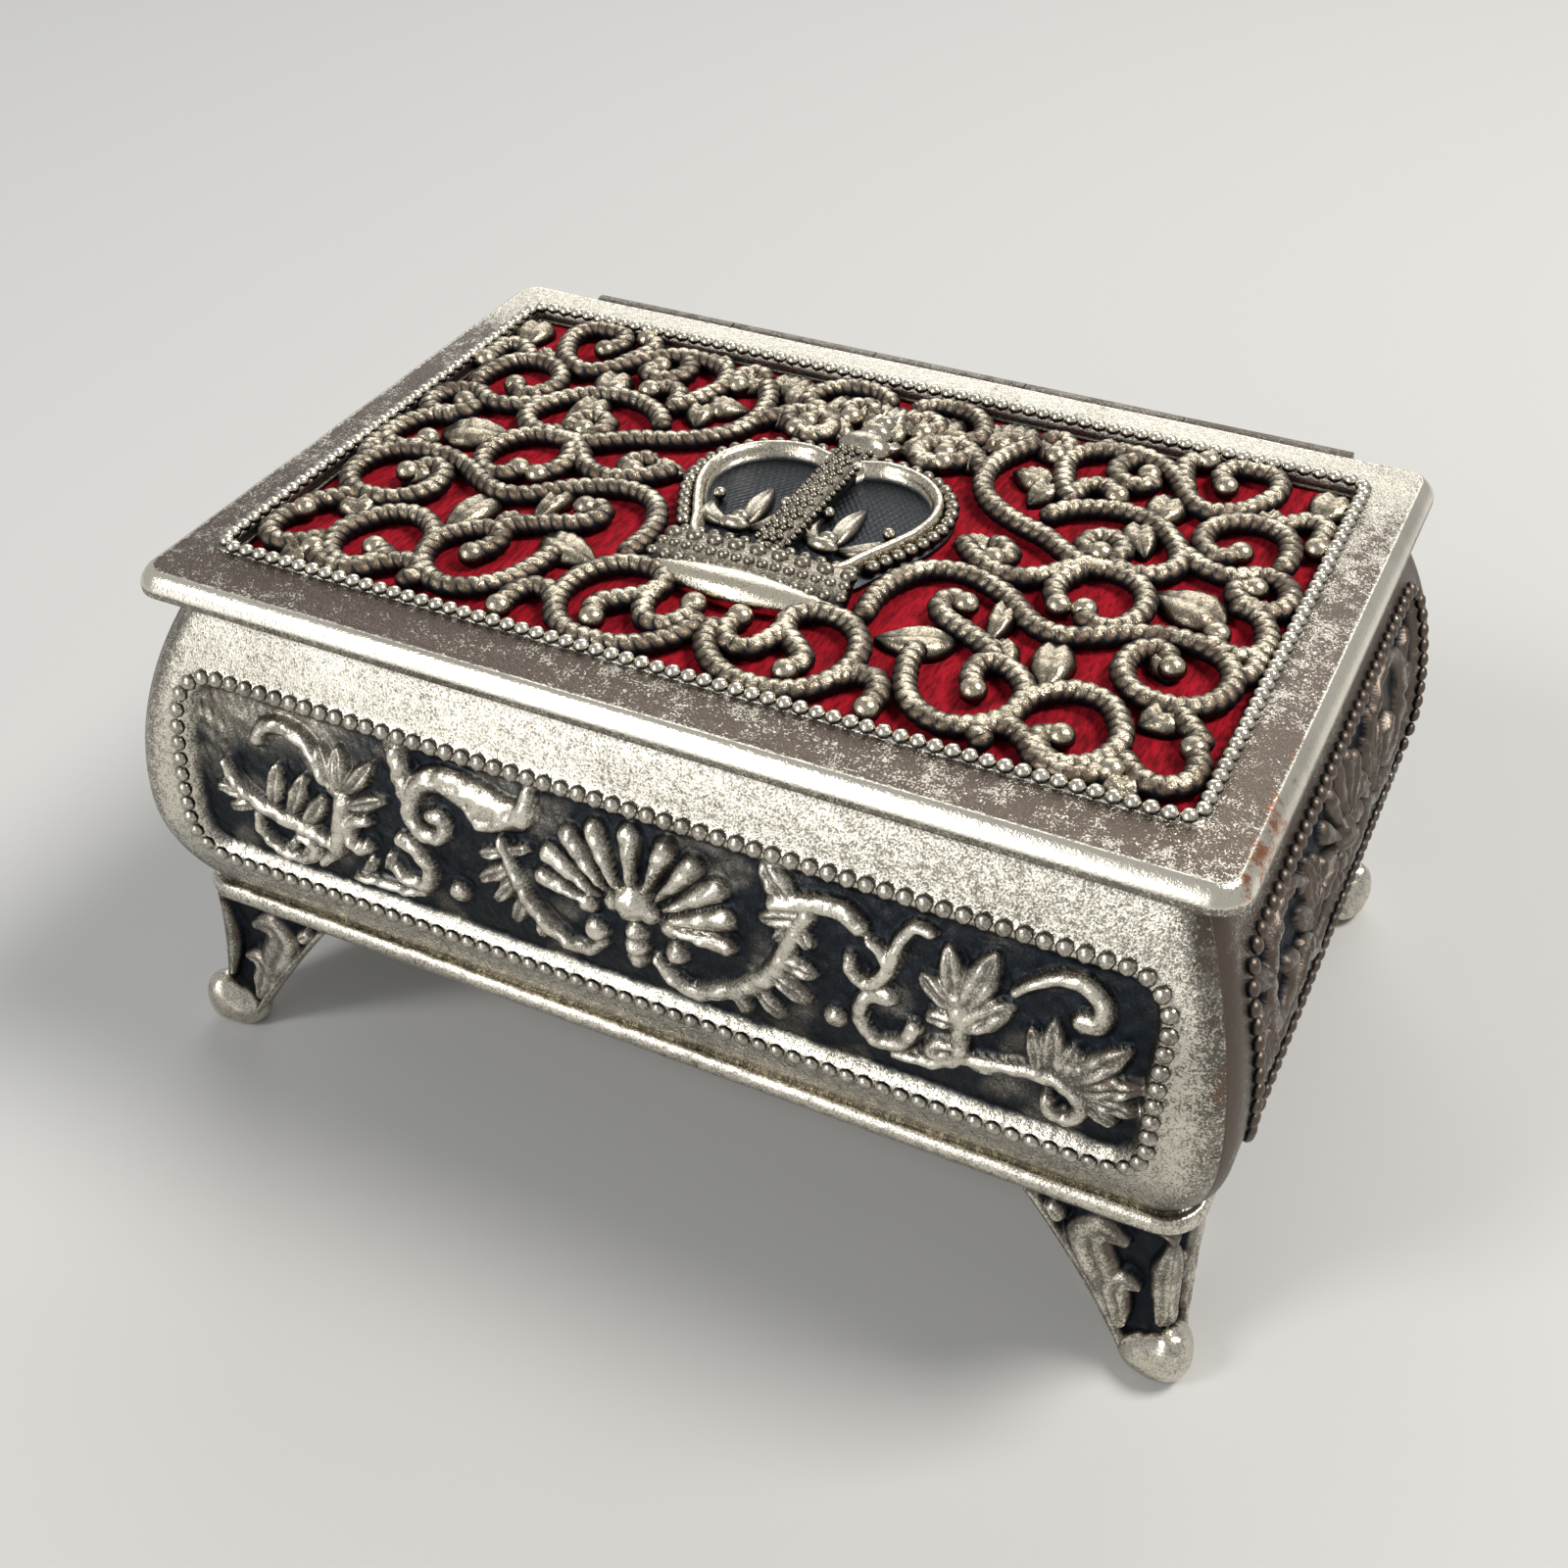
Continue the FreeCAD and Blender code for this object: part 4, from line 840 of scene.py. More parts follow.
sides = {
    "corner": 2.8, "sink": 1.1, "bevel": 0.9, "frameMargin": 4.2, "frameLow": 26.3, "frameHigh": 44.65,
    "frameCorner": 3.5, "railHigh": 0.22, "beadOut": 0.50, "beadPitch": 1.62, "beadSize": (0.80, 0.82, 0.58),
    "railSpread": 0.45, "rowCount": 116, "innerRows": 12, "longColumns": 500, "endColumns": 340,
    "reliefTall": 1.15, "strokeStep": 0.22, "stemWider": 1.40, "leafHalf": 41.6, "leafThick": 0.6,
    # extra tarnish over the end walls, painted shade
    "endShade": 0.44,
    # widths along a lobe and a petal, and how deep the crease on its middle is
    "lobe": ((0.6, 1.15, 1.40, 1.10, 0.4), 0.38), "petal": ((0.30, 0.50, 0.72, 0.90, 1.0), 0.0),
}
# relief of the long panels, along and up the wall: stems are points and the widths along them,
# lobes and petals are base, tip and width, balls are place and half width
longStems = [
    ([(-9.8, 43.8), (-10.2, 41.4), (-12.4, 40.9), (-15.0, 41.3), (-17.7, 42.1), (-19.9, 41.7),
      (-21.2, 40.2), (-21.6, 38.2), (-20.7, 36.8), (-19.2, 36.4), (-18.0, 37.3), (-18.3, 38.7),
      (-19.3, 38.5)], 1.0, 2.2, 2.8, 2.2, 1.6, 1.5, 1.4, 1.2),
    ([(-23.4, 44.0), (-22.8, 42.2), (-22.0, 39.7), (-21.4, 38.4)], 2.0, 1.7, 0.9),
    ([(-15.7, 40.6), (-14.2, 39.4), (-12.0, 40.2)], 0.8, 1.3, 1.2),
    ([(-28.7, 37.0), (-29.2, 34.6), (-29.8, 31.6), (-31.6, 29.4)], 1.6, 1.5, 0.9),
    ([(-26.3, 35.8), (-27.7, 35.1), (-28.3, 33.7), (-27.4, 32.4), (-26.3, 33.0)], 1.1, 1.2, 1.2),
    ([(-22.4, 35.0), (-21.0, 34.5), (-19.8, 32.7), (-20.3, 30.8), (-22.2, 30.8), (-23.2, 31.4)],
      1.5, 1.3, 1.3),
    ([(-28.0, 28.9), (-25.0, 29.2), (-22.8, 29.2), (-20.6, 30.0)], 0.7, 0.9, 0.9),
    ([(-37.9, 40.6), (-37.2, 41.9), (-35.2, 42.4), (-33.0, 41.7), (-31.4, 40.2), (-30.6, 38.6)],
      1.3, 1.3, 1.1),
    ([(-41.6, 37.2), (-40.9, 35.6), (-38.7, 34.0), (-35.8, 33.0), (-32.3, 32.4), (-29.6, 31.4)],
      0.9, 1.5, 1.2),
    ([(-38.4, 32.6), (-38.5, 31.0), (-37.2, 29.4), (-34.8, 28.7), (-32.8, 29.5), (-32.6, 31.0),
      (-33.8, 31.6)], 0.9, 1.1, 1.0),
    ([(-12.2, 38.4), (-10.9, 35.8), (-9.6, 33.2), (-7.6, 31.0), (-5.5, 29.8), (-3.4, 30.0), (-2.2, 31.2)],
      0.9, 1.5, 0.9),
    ([(3.2, 31.4), (4.5, 29.8), (6.7, 29.0), (9.0, 30.1), (11.4, 31.5), (13.6, 33.8), (14.8, 36.4),
      (15.4, 38.6), (16.4, 40.6)], 0.9, 1.8, 1.2),
    ([(13.4, 40.8), (15.2, 41.4), (17.2, 41.9), (19.3, 42.0), (20.8, 41.2)], 1.2, 1.4, 1.5),
    ([(20.4, 38.2), (20.7, 37.0), (22.0, 36.3), (23.3, 37.3), (24.0, 39.3), (24.6, 41.4), (25.6, 42.7),
      (26.8, 42.6)], 1.0, 1.2, 0.9),
    ([(23.5, 38.9), (22.7, 39.9), (21.8, 40.4)], 1.0, 0.9, 0.6),
    ([(24.1, 35.7), (22.5, 35.3), (21.7, 33.7), (22.2, 31.7), (23.8, 30.8), (25.6, 31.6), (26.4, 33.4)],
      1.4, 1.2, 1.2),
    ([(29.6, 37.4), (30.2, 34.6), (30.3, 32.0), (28.4, 30.6), (25.0, 30.2)], 1.4, 1.2, 0.8),
    ([(34.2, 40.0), (35.8, 41.4), (38.0, 42.4), (39.8, 42.2), (41.1, 41.0), (40.9, 39.5), (39.8, 39.2)],
      0.8, 1.3, 1.6),
    ([(30.5, 32.0), (34.0, 32.6), (37.3, 33.1), (39.8, 32.4), (40.7, 30.8), (39.7, 29.2), (38.2, 29.6),
      (37.9, 30.9)], 1.0, 1.3, 1.1),
]
longLobes = [
    ((-28.9, 38.4), (-29.2, 42.2), 1.5), ((-28.2, 38.2), (-25.6, 41.6), 1.5),
    ((-29.6, 37.6), (-31.2, 42.0), 1.4), ((-28.0, 36.8), (-24.1, 38.6), 1.4),
    ((-36.6, 34.2), (-35.8, 38.6), 1.6), ((-34.7, 33.8), (-32.9, 38.4), 1.5),
    ((-33.0, 33.4), (-30.8, 36.6), 1.6), ((-39.6, 34.2), (-43.0, 34.4), 1.2),
    ((-38.8, 33.4), (-41.9, 32.4), 1.2), ((-35.6, 29.2), (-34.5, 31.0), 0.9),
    ((-33.9, 28.9), (-32.8, 30.9), 0.9), ((-24.2, 31.2), (-23.6, 33.4), 1.0),
    ((-26.8, 30.0), (-25.7, 31.9), 1.0), ((-11.9, 37.4), (-14.4, 36.4), 1.1),
    ((-11.2, 36.0), (-14.5, 33.7), 1.4), ((-10.6, 35.0), (-13.0, 31.8), 1.3),
    ((-9.9, 33.4), (-11.0, 30.2), 1.4), ((-11.4, 37.6), (-9.2, 38.6), 0.9),
    ((-8.4, 31.6), (-8.2, 29.4), 1.0), ((14.9, 41.2), (12.1, 43.9), 2.2),
    ((16.0, 40.2), (12.3, 39.2), 1.6), ((15.2, 39.4), (13.8, 37.6), 1.0),
    ((15.8, 39.6), (17.0, 37.7), 1.3), ((14.6, 35.8), (17.6, 35.4), 1.8),
    ((13.9, 34.2), (17.2, 32.4), 1.8), ((12.4, 32.2), (15.0, 29.6), 1.5),
    ((10.6, 31.0), (11.7, 28.8), 1.2), ((29.3, 38.0), (28.4, 42.0), 1.7),
    ((30.4, 37.0), (32.2, 42.4), 2.3), ((29.2, 36.9), (26.6, 38.8), 1.7),
    ((30.4, 35.0), (34.0, 38.6), 2.2), ((29.6, 35.4), (27.4, 35.2), 1.5),
    ((30.0, 32.6), (27.6, 31.6), 1.8), ((33.6, 32.3), (31.3, 31.9), 1.4),
    ((36.9, 33.6), (35.9, 37.4), 1.3), ((37.9, 33.8), (37.7, 38.4), 1.8),
    ((38.5, 33.6), (39.7, 36.9), 1.4), ((39.4, 33.4), (43.6, 38.0), 2.1),
    ((40.4, 32.9), (45.4, 35.1), 1.7), ((41.0, 32.3), (45.2, 32.4), 1.6),
    ((41.0, 31.6), (43.5, 30.6), 1.4),
]
longPetals = [
    ((-1.0, 37.6), (-3.3, 42.0), 2.3), ((0.5, 38.0), (-0.1, 42.6), 2.4), ((1.9, 38.0), (3.3, 42.4), 2.4),
    ((3.0, 37.6), (5.9, 41.6), 2.4), ((3.8, 36.9), (8.3, 40.3), 2.4), ((4.2, 36.0), (9.3, 37.8), 2.5),
    ((4.2, 35.2), (9.6, 35.3), 2.2), ((-2.0, 37.0), (-5.7, 40.9), 2.3), ((-2.6, 36.2), (-7.4, 38.7), 2.3),
    ((-3.0, 35.2), (-8.0, 36.2), 2.1),
]
longBalls = [
    (-3.3, 42.1, 1.15), (-0.1, 42.6, 1.15), (3.3, 42.4, 1.2), (5.9, 41.6, 1.2), (8.3, 40.3, 1.15),
    (-5.7, 40.9, 1.05), (-7.4, 38.7, 1.05), (-8.0, 36.2, 1.0), (9.3, 37.7, 1.1), (9.5, 35.4, 0.95),
    (0.7, 36.6, 1.9), (-0.9, 36.0, 1.2), (2.3, 36.0, 1.2), (0.7, 38.0, 0.7), (-3.6, 35.0, 1.15),
    (4.4, 35.2, 1.15), (-2.8, 32.4, 1.3), (5.0, 32.8, 1.25), (1.1, 33.6, 1.2), (1.1, 32.2, 1.35),
    (1.1, 30.8, 1.2), (-16.7, 31.4, 1.25), (19.6, 31.8, 1.2), (-22.3, 34.9, 0.9), (-26.3, 33.2, 0.8),
    (39.8, 39.2, 0.95), (28.1, 31.8, 1.05), (-19.0, 38.4, 0.7), (20.9, 41.1, 0.85), (-31.0, 36.4, 0.8),
]
# relief of the end panels, one half of a mirrored pattern
endStems = [
    ([(4.0, 29.4), (7.0, 29.0), (9.4, 30.2), (10.2, 32.6)], 0.9, 1.5, 1.3),
    ([(12.6, 40.6), (15.4, 42.4), (19.0, 42.5), (22.0, 40.4), (23.0, 36.8), (21.8, 33.4), (19.0, 31.9),
      (16.6, 33.0), (16.2, 35.4), (18.0, 36.4)], 0.9, 1.6, 1.3),
    ([(10.4, 32.4), (13.4, 30.4), (17.0, 29.2), (21.0, 29.0), (24.4, 30.2)], 1.0, 1.4, 0.9),
]
endLobes = [
    ((10.0, 35.6), (8.6, 40.2), 1.7), ((10.5, 36.0), (11.2, 41.6), 2.0),
    ((10.8, 34.8), (14.2, 38.6), 1.9), ((10.2, 34.0), (7.0, 36.2), 1.5),
    ((10.6, 33.2), (14.0, 34.6), 1.5), ((22.6, 38.4), (26.0, 41.6), 1.7),
    ((22.8, 36.0), (26.8, 37.4), 1.7), ((22.0, 33.4), (26.4, 33.0), 1.6),
    ((20.0, 29.4), (21.6, 31.4), 1.2), ((15.4, 29.8), (14.6, 32.0), 1.3),
]
endPetals = [
    ((0.0, 38.0), (0.0, 42.4), 2.4), ((1.0, 37.8), (2.9, 41.9), 2.4), ((1.9, 37.2), (5.4, 40.2), 2.4),
    ((2.3, 36.4), (6.6, 37.4), 2.3), ((2.3, 35.6), (6.0, 34.6), 2.1),
]
endBalls = [
    (0.0, 42.4, 1.15), (2.9, 41.9, 1.15), (5.4, 40.2, 1.15), (6.6, 37.4, 1.05), (6.0, 34.6, 1.0),
    (0.0, 36.4, 1.9), (2.6, 32.6, 1.2), (0.0, 33.2, 1.3), (0.0, 31.2, 1.2), (18.0, 36.4, 1.0),
    (12.8, 40.2, 0.9), (24.4, 30.4, 0.8),
]


def domes(x, z, height, line, widths, tall, groove):
    # raises the height to a row of overlapping domes along a line, with a crease on its middle
    t = np.linspace(0, 1, len(line))
    w = np.interp(t, np.linspace(0, 1, len(widths)), widths) / 2
    pad = w.max()
    near = ((x > line[:, 0].min() - pad) & (x < line[:, 0].max() + pad)
            & (z > line[:, 1].min() - pad) & (z < line[:, 1].max() + pad))
    gap = np.hypot(x[near][:, None] - line[None, :, 0], z[near][:, None] - line[None, :, 1])
    most = np.minimum(2 * tall * w, 1.05 * tall ** 0.5)[None]
    lift = np.sqrt(np.clip(1 - (gap / w[None]) ** 2, 0, 1)) * most
    crease = 1 - groove * np.exp(-(gap.min(1) / (0.22 * pad)) ** 2)
    height[near] = np.maximum(height[near], lift.max(1) * crease)


def reliefHeight(x, z, stems, lobes, petals, balls):
    # height of the ornament over its ground: the highest of its stems, lobes, petals and balls
    s = sides
    height = np.zeros_like(x)
    for points, *widths in stems:
        line = smoothPath(points, s["strokeStep"])[0]
        domes(x, z, height, line, s["stemWider"] * np.array(widths), s["reliefTall"], 0.0)
    u = np.linspace(0, 1, 26)[:, None]
    for strokes, (shape, groove) in ((lobes, s["lobe"]), (petals, s["petal"])):
        for base, tip, width in strokes:
            line = np.array(base) * (1 - u) + np.array(tip) * u
            domes(x, z, height, line, width * np.array(shape), s["reliefTall"], groove)
    for bx, bz, size in balls:
        gap = np.hypot(x - bx, z - bz)
        height = np.maximum(height, 0.95 * size * np.sqrt(np.clip(1 - (gap / size) ** 2, 0, 1)))
    return height


def frameDistance(x, z, run):
    # distance out from the sunk panel's round-cornered outline, negative inside
    s = sides
    mid, half = (s["frameLow"] + s["frameHigh"]) / 2, (s["frameHigh"] - s["frameLow"]) / 2
    qx = np.abs(x) - (run - s["frameMargin"] - s["frameCorner"])
    qz = np.abs(z - mid) - (half - s["frameCorner"])
    beyond = np.hypot(np.maximum(qx, 0), np.maximum(qz, 0))
    return beyond + np.minimum(np.maximum(qx, qz), 0) - s["frameCorner"]


def wallPoint(x, z, distance, run, lift):
    # point of the bombe face, its corner rounded, lifted along the wall's own normal
    corner, reach = sides["corner"], swell(z)
    fromCorner = np.clip(run + reach - np.abs(x), 0, corner)
    back = corner - np.sqrt(corner ** 2 - (corner - fromCorner) ** 2)
    above, below = np.minimum(z + 0.05, casket["rimZ"]), np.maximum(z - 0.05, casket["wallZ"])
    slope = (swell(above) - swell(below)) / 0.1
    size = np.sqrt(1 + slope ** 2)
    return np.stack([x, -(distance + reach - back) - lift / size, z - lift * slope / size], -1)


def castSide(distance, run, columns, relief, seed, shade, rebate=0.0):
    # grid of the face: columns between the mitres, rows up the swell, then the plain inner face
    s, c = sides, casket
    low, high = s["frameLow"], s["frameHigh"]
    q = np.linspace(-1, 1, columns)
    q = (np.sign(q) * (1 - (1 - np.abs(q)) ** 1.06))[:, None]
    z = np.concatenate([np.linspace(c["wallZ"], low - 1, 22)[:-1],
                        np.linspace(low - 1, high + 1, s["rowCount"])[:-1],
                        np.linspace(high + 1, c["rimZ"], 20)])
    zz = np.tile(z, (columns, 1))
    xx = q * (run + swell(z) - (1 - math.sqrt(0.5)) * s["corner"])[None]
    flat = 0 * xx
    out = frameDistance(xx, zz, run)
    inside = smoothstep(0.0, s["bevel"], -out)
    ornament = reliefHeight(xx, zz, *relief) * smoothstep(0.2, 1.0, -out)
    rough = ripple(xx, zz, flat, 1.3, seed) * 0.09 * inside + ripple(xx, zz, flat, 9.0, seed + 1) * 0.05
    ornament = ornament * (1 + 0.12 * ripple(xx, zz, flat, 1.6, seed + 3))
    nearRail = np.exp(-((out - s["beadOut"]) / s["railSpread"]) ** 2)
    toEdge = run + swell(zz) - np.abs(xx)
    lift = s["railHigh"] * nearRail - s["sink"] * inside + ornament + rough * smoothstep(0.2, 0.0, ornament)
    outer = wallPoint(xx, zz, distance, run, lift * smoothstep(0.0, 2.5, toEdge - 0.8))
    zi = np.linspace(c["rimZ"], c["wallZ"], s["innerRows"])
    behind = (swell(zi) - c["wallThick"])[None]
    inner = np.stack(np.broadcast_arrays(q * (run + behind), -(distance + behind), zi[None]), -1)
    p = np.concatenate([outer, inner], 1)
    cutDown = np.minimum(p[..., 2], c["rimZ"] - s["leafThick"])
    p[..., 2] = np.where(np.abs(p[..., 0]) < rebate, cutDown, p[..., 2])
    # oxide and painted shade: bright on the ornament's top, dark on its ground and flanks and along the
    # rail, darker low down, and a painted shadow of the lid under its edge
    patches = smoothstep(0.0, 0.8, ripple(xx, zz, flat, 6.0, seed + 5))
    raised = smoothstep(0.30, 1.0, ornament) + 0.12 + 0.20 * patches
    worn = 0.48 * smoothstep(-20, -40, xx) * smoothstep(37, 44, zz)
    lowPart = smoothstep(26.0, 22.0, zz)
    tone = np.where(out < 0, raised * inside + (1 - inside) + worn * inside, 1.0)
    # the last term is the painted shadow of the lid's overhang, just under the rim
    tone = tone - 0.45 * nearRail - 0.25 * lowPart - 0.65 * smoothstep(49.2, 50.2, zz)
    corner = smoothstep(4.0, 1.0, toEdge)
    crest = inside * smoothstep(0.75, 1.12, ornament)
    band = smoothstep(44.6, 46.0, zz) * smoothstep(-25, 30, xx)
    # shade adds tarnish all over the end walls and their beads: painted shade
    tarnish = 0.34 * corner + 0.20 * lowPart + 0.32 * inside - 0.32 * crest + 0.16 * band - 0.08 + shade
    tarnish = tarnish + 0.10 * inside * ripple(xx, zz, flat, 4.0, seed + 7)
    copper = 0.22 * corner * smoothstep(30, 36, zz) * (xx > 0) - 0.1
    plain = np.zeros((columns, s["innerRows"]))
    # the plain inner face is darker, painted shade inside the box
    outerInner = (("tone", tone, 0.4), ("tarnish", tarnish, 0), ("copper", copper, 0),
                  ("frost", 1 - 0.35 * inside, 1))
    skin = tube(p, **{label: np.concatenate([face, plain + rest], 1) for label, face, rest in outerInner})
    mid, half = (low + high) / 2, (high - low) / 2
    loop = roundedLoop(run - s["frameMargin"] + s["beadOut"], half + s["beadOut"],
                       s["frameCorner"] + s["beadOut"])
    spot, way = rowRound(loop, s["beadPitch"])
    spot = spot + [0, mid]
    at, above = (wallPoint(*spot.T, distance, run, np.full(len(spot), s["railHigh"] + up)) for up in (0, 1))
    ahead = wallPoint(*(spot + way).T, distance, run, np.full(len(spot), s["railHigh"]))
    return [skin, beads(at, ahead - at, above - at, s["beadSize"], tarnish=0.08 + shade)]


def mirroredStrokes(strokes):
    # strokes from base to tip, and the same on the other side of the middle
    return strokes + [((-a[0], a[1]), (-b[0], b[1]), width) for a, b, width in strokes]


def makeSides():
    # front and back share a pattern, and the ends share one that is mirrored about its middle
    s, c = sides, casket
    longRelief = (longStems, longLobes, longPetals, longBalls)
    endRelief = (endStems + [([(-x, z) for x, z in points], *widths) for points, *widths in endStems],
                 mirroredStrokes(endLobes), mirroredStrokes(endPetals),
                 endBalls + [(-x, z, size) for x, z, size in endBalls])
    front = castSide(c["halfY"], c["halfX"], s["longColumns"], longRelief, 20, 0.0)
    back = castSide(c["halfY"], c["halfX"], s["longColumns"], longRelief, 20, 0.0, s["leafHalf"])
    end = castSide(c["halfX"], c["halfY"], s["endColumns"], endRelief, 40, s["endShade"])
    for (word, turn), parts in zip(sideTurns, (front, back, end, end)):
        shells = [moved(part, turn=turn) for part in parts]
        piece("side" + word, shells, "box", word.lower() + "_wall", castPlate)


makeSides()


# moulded base

baseMoulding = {"overX": 50.9, "overY": 33.3, "corner": 4.0, "leastCorner": 0.8, "hollow": 1.5, "rim": 6.0}


def makeBase():
    # profile carried round the base, closed by a flat above and by the ceiling of the hollow below
    s = baseMoulding
    low, high = casket["baseZ"], casket["wallZ"]
    upper = ((-6.0, 0), (-2.2, 0.02), (-1.6, 0.05), (-1.15, 0.25), (-0.85, 0.3), (-0.6, 0.2), (-0.35, 0.3),
             (-0.12, 0.6), (0.0, 1.05), (-0.02, 1.5), (-0.2, 1.9), (-0.5, 2.15), (-0.62, 2.3))
    lower = ((-0.7, 0.08), (-0.95, 0), (-2.5, 0), (-4.2, 0), (-s["rim"], 0), (-s["rim"], s["hollow"]))
    profile = [(o, high - drop) for o, drop in upper] + [(o, low + lift) for o, lift in lower]
    rows = [(s["overX"] + o, s["overY"] + o, max(s["corner"] + o, s["leastCorner"]), z) for o, z in profile]
    x, y, z = carried(rows, 150, 12)
    rowNumber = np.arange(len(rows))[:, None]
    band = (rowNumber >= 3) & (rowNumber < len(upper))
    z = z + band * (0.06 * ripple(x, y, z, 2.2, 5) + 0.05 * ripple(x, y, z, 7.0, 6))
    # painted shade with oxide in the steps: darkest on the flat under the wall's swell, dark in the steps
    # and underneath, bright on the rounded band
    tone = np.array([0.35] * 3 + [0.45] * 2 + [1.0] * 6 + [0.45] * 3 + [0.55] * 5)[:, None] + 0 * x
    skin = tube(np.stack([x, y, z], -1), tone=tone, frost=0.7)
    piece("baseMoulding", [skin], "box", "base_plate", castPlate)


makeBase()


# bracket feet with a fan of leaves rising from a ball toe

feet = {
    "length": 14.0, "thick": 2.2, "inset": 0.3, "toeOut": 1.1, "hollow": 0.3, "scoop": 0.4, "toeLength": 3.1,
    "low": 0.8, "high": 16.4, "corner": 1.4, "sink": 1.15, "toeAt": 0.2, "toeHigh": 2.1, "toeSize": 2.05,
    "rows": 100, "columns": 72, "backColumns": 5, "strokeTall": 1.9, "strokeCrease": 0.22, "mitre": 0.29,
    # swellings of the toe: way, reach, sharpness
    "toeLobes": [((-0.99, 0.1, -0.1), 2.1, 3.2), ((-0.1, 0.99, -0.1), 2.1, 3.2),
                 ((0.1, -0.1, 0.99), 1.5, 3.2)],
}
# strokes of a wing: distance from the corner and height, then widths along the stroke
footStrokes = [
    ([(13.4, 15.7), (10.8, 12.4), (7.9, 8.6), (5.6, 5.2), (4.0, 2.4)], (1.6, 1.2, 1.1, 1.2, 1.6)),
    ([(5.4, 6.4), (6.4, 9.0), (7.6, 11.4), (8.0, 13.2), (6.8, 14.4), (5.0, 13.9)],
     (2.0, 3.4, 4.8, 4.8, 3.4, 1.4)),
    ([(4.2, 4.6), (4.7, 6.6), (5.2, 8.2), (4.5, 9.4), (3.2, 9.2)], (1.6, 2.8, 3.4, 2.6, 1.0)),
    ([(0.7, 6.4), (0.9, 9.0), (1.2, 12.0), (1.0, 14.8)], (1.4, 2.8, 2.8, 1.2)),
    ([(10.9, 14.5), (11.1, 14.7), (11.3, 14.9)], (1.9, 1.8, 1.7)),
]


def footWing(distance, run):
    # grid of a wing: from the mitre to its slanting inner edge, toe to top, then its plain back
    s = feet
    z = np.linspace(s["low"], s["high"], s["rows"])[:, None]
    share = (s["high"] - z) / (s["high"] - s["low"])
    face = -s["inset"] + (s["toeOut"] + s["inset"]) * share - 4 * s["hollow"] * share * (1 - share)
    reachIn = s["length"] + (s["toeLength"] - s["length"]) * share - 4 * s["scoop"] * share * (1 - share)
    t = np.linspace(0, 1, s["columns"])[None]
    mitre = s["mitre"] * s["corner"]
    fromCorner = -face + mitre + t * (reachIn + face - mitre)
    tuck = np.clip(s["corner"] - (fromCorner + face), 0, s["corner"])
    back = s["corner"] - np.sqrt(s["corner"] ** 2 - tuck ** 2)
    zz = z + 0 * t
    relief = np.zeros_like(zz)
    for points, widths in footStrokes:
        line = smoothPath(points, sides["strokeStep"])[0]
        domes(fromCorner, zz, relief, line, widths, s["strokeTall"], s["strokeCrease"])
    edge = smoothstep(0.0, 0.12, t) * smoothstep(1.0, 0.95, t)
    topRim = smoothstep(s["high"] - 0.9, s["high"] - 0.2, zz)
    lift = np.maximum(relief, 0.7 * topRim) - s["sink"] + 0.06 * ripple(fromCorner, zz, 0 * zz, 1.5, 12)
    front = np.stack([run - fromCorner, -(distance + face - back + lift * edge), zz], -1)
    fromBack = -face + s["thick"] + np.linspace(1, 0, s["backColumns"])[None] * (reachIn + face - s["thick"])
    rear = np.stack(np.broadcast_arrays(run - fromBack, -(distance + face - s["thick"]), z), -1)
    # oxide and painted shade: the ground between the leaves dark, the leaves lighter up to their tops and
    # along the mitre, the plain back darker
    tone = 0.06 + smoothstep(0.4, 1.35, np.maximum(relief, 1.1 * topRim)) + 0.4 * smoothstep(0.12, 0.0, t)
    tarnish = 0.42 - 0.40 * smoothstep(0.95, 1.38, relief) + 0.10 * ripple(fromCorner, zz, 0 * zz, 4.0, 13)
    plain = np.zeros((s["rows"], s["backColumns"]))
    return tube(np.concatenate([front, rear], 1), tone=np.concatenate([tone, plain + 0.45], 1),
                tarnish=np.concatenate([tarnish, plain + 0.2], 1), frost=0.7)


def footToe():
    # ball drawn out along both wings and up the corner, flat where it stands
    s, c = feet, casket
    lat = np.linspace(0.06, math.pi - 0.06, 34)[:, None]
    lon = roundAngles(56)[None]
    way = np.stack([np.sin(lat) * np.cos(lon), np.sin(lat) * np.sin(lon), np.cos(lat) + 0 * lon], -1)
    r = np.full(way.shape[:2], s["toeSize"])
    for axis, extra, sharp in s["toeLobes"]:
        r = r + extra * np.exp(sharp * (way @ np.array(axis) - 1))
    p = np.array([c["halfX"] + s["toeAt"], -c["halfY"] - s["toeAt"], s["toeHigh"]]) + r[..., None] * way
    p[..., 2] = np.maximum(p[..., 2] + 0.07 * ripple(p[..., 0], p[..., 1], p[..., 2], 1.6, 9), 0.0)
    # painted shade: the toe darker towards the floor it stands on
    return tube(p, tone=0.5 + 0.5 * smoothstep(0.2, 1.6, p[..., 2]), frost=0.5)


def makeFeet():
    # two wings and a toe for the front right corner, mirrored to the other three
    c = casket
    side = moved(footWing(c["halfX"], c["halfY"]), mirrorX=True, turn=90)
    parts = [footWing(c["halfY"], c["halfX"]), side, footToe()]
    for depth, flipY in (("Front", False), ("Back", True)):
        for hand, flipX in (("Right", False), ("Left", True)):
            shells = [moved(part, mirrorX=flipX, mirrorY=flipY) for part in parts]
            node = "foot_%s_%s" % (depth.lower(), hand.lower())
            piece("foot" + depth + hand, shells, "box", node, castPlate)


makeFeet()


# velvet of the lid and lining of the box

velvet = {
    "halfX": 45.9, "halfY": 28.9, "top": 53.58, "thick": 0.45, "liningTop": 52.40, "liningLow": 52.02,
    "floorX": 47.2, "floorY": 30.2, "floorGap": 0.02, "floorThick": 1.0,
    "padLow": 0.85, "padDrop": 0.6, "padGap": 0.1, "padThick": 0.72, "padPuff": 0.28, "fill": 0.5,
}


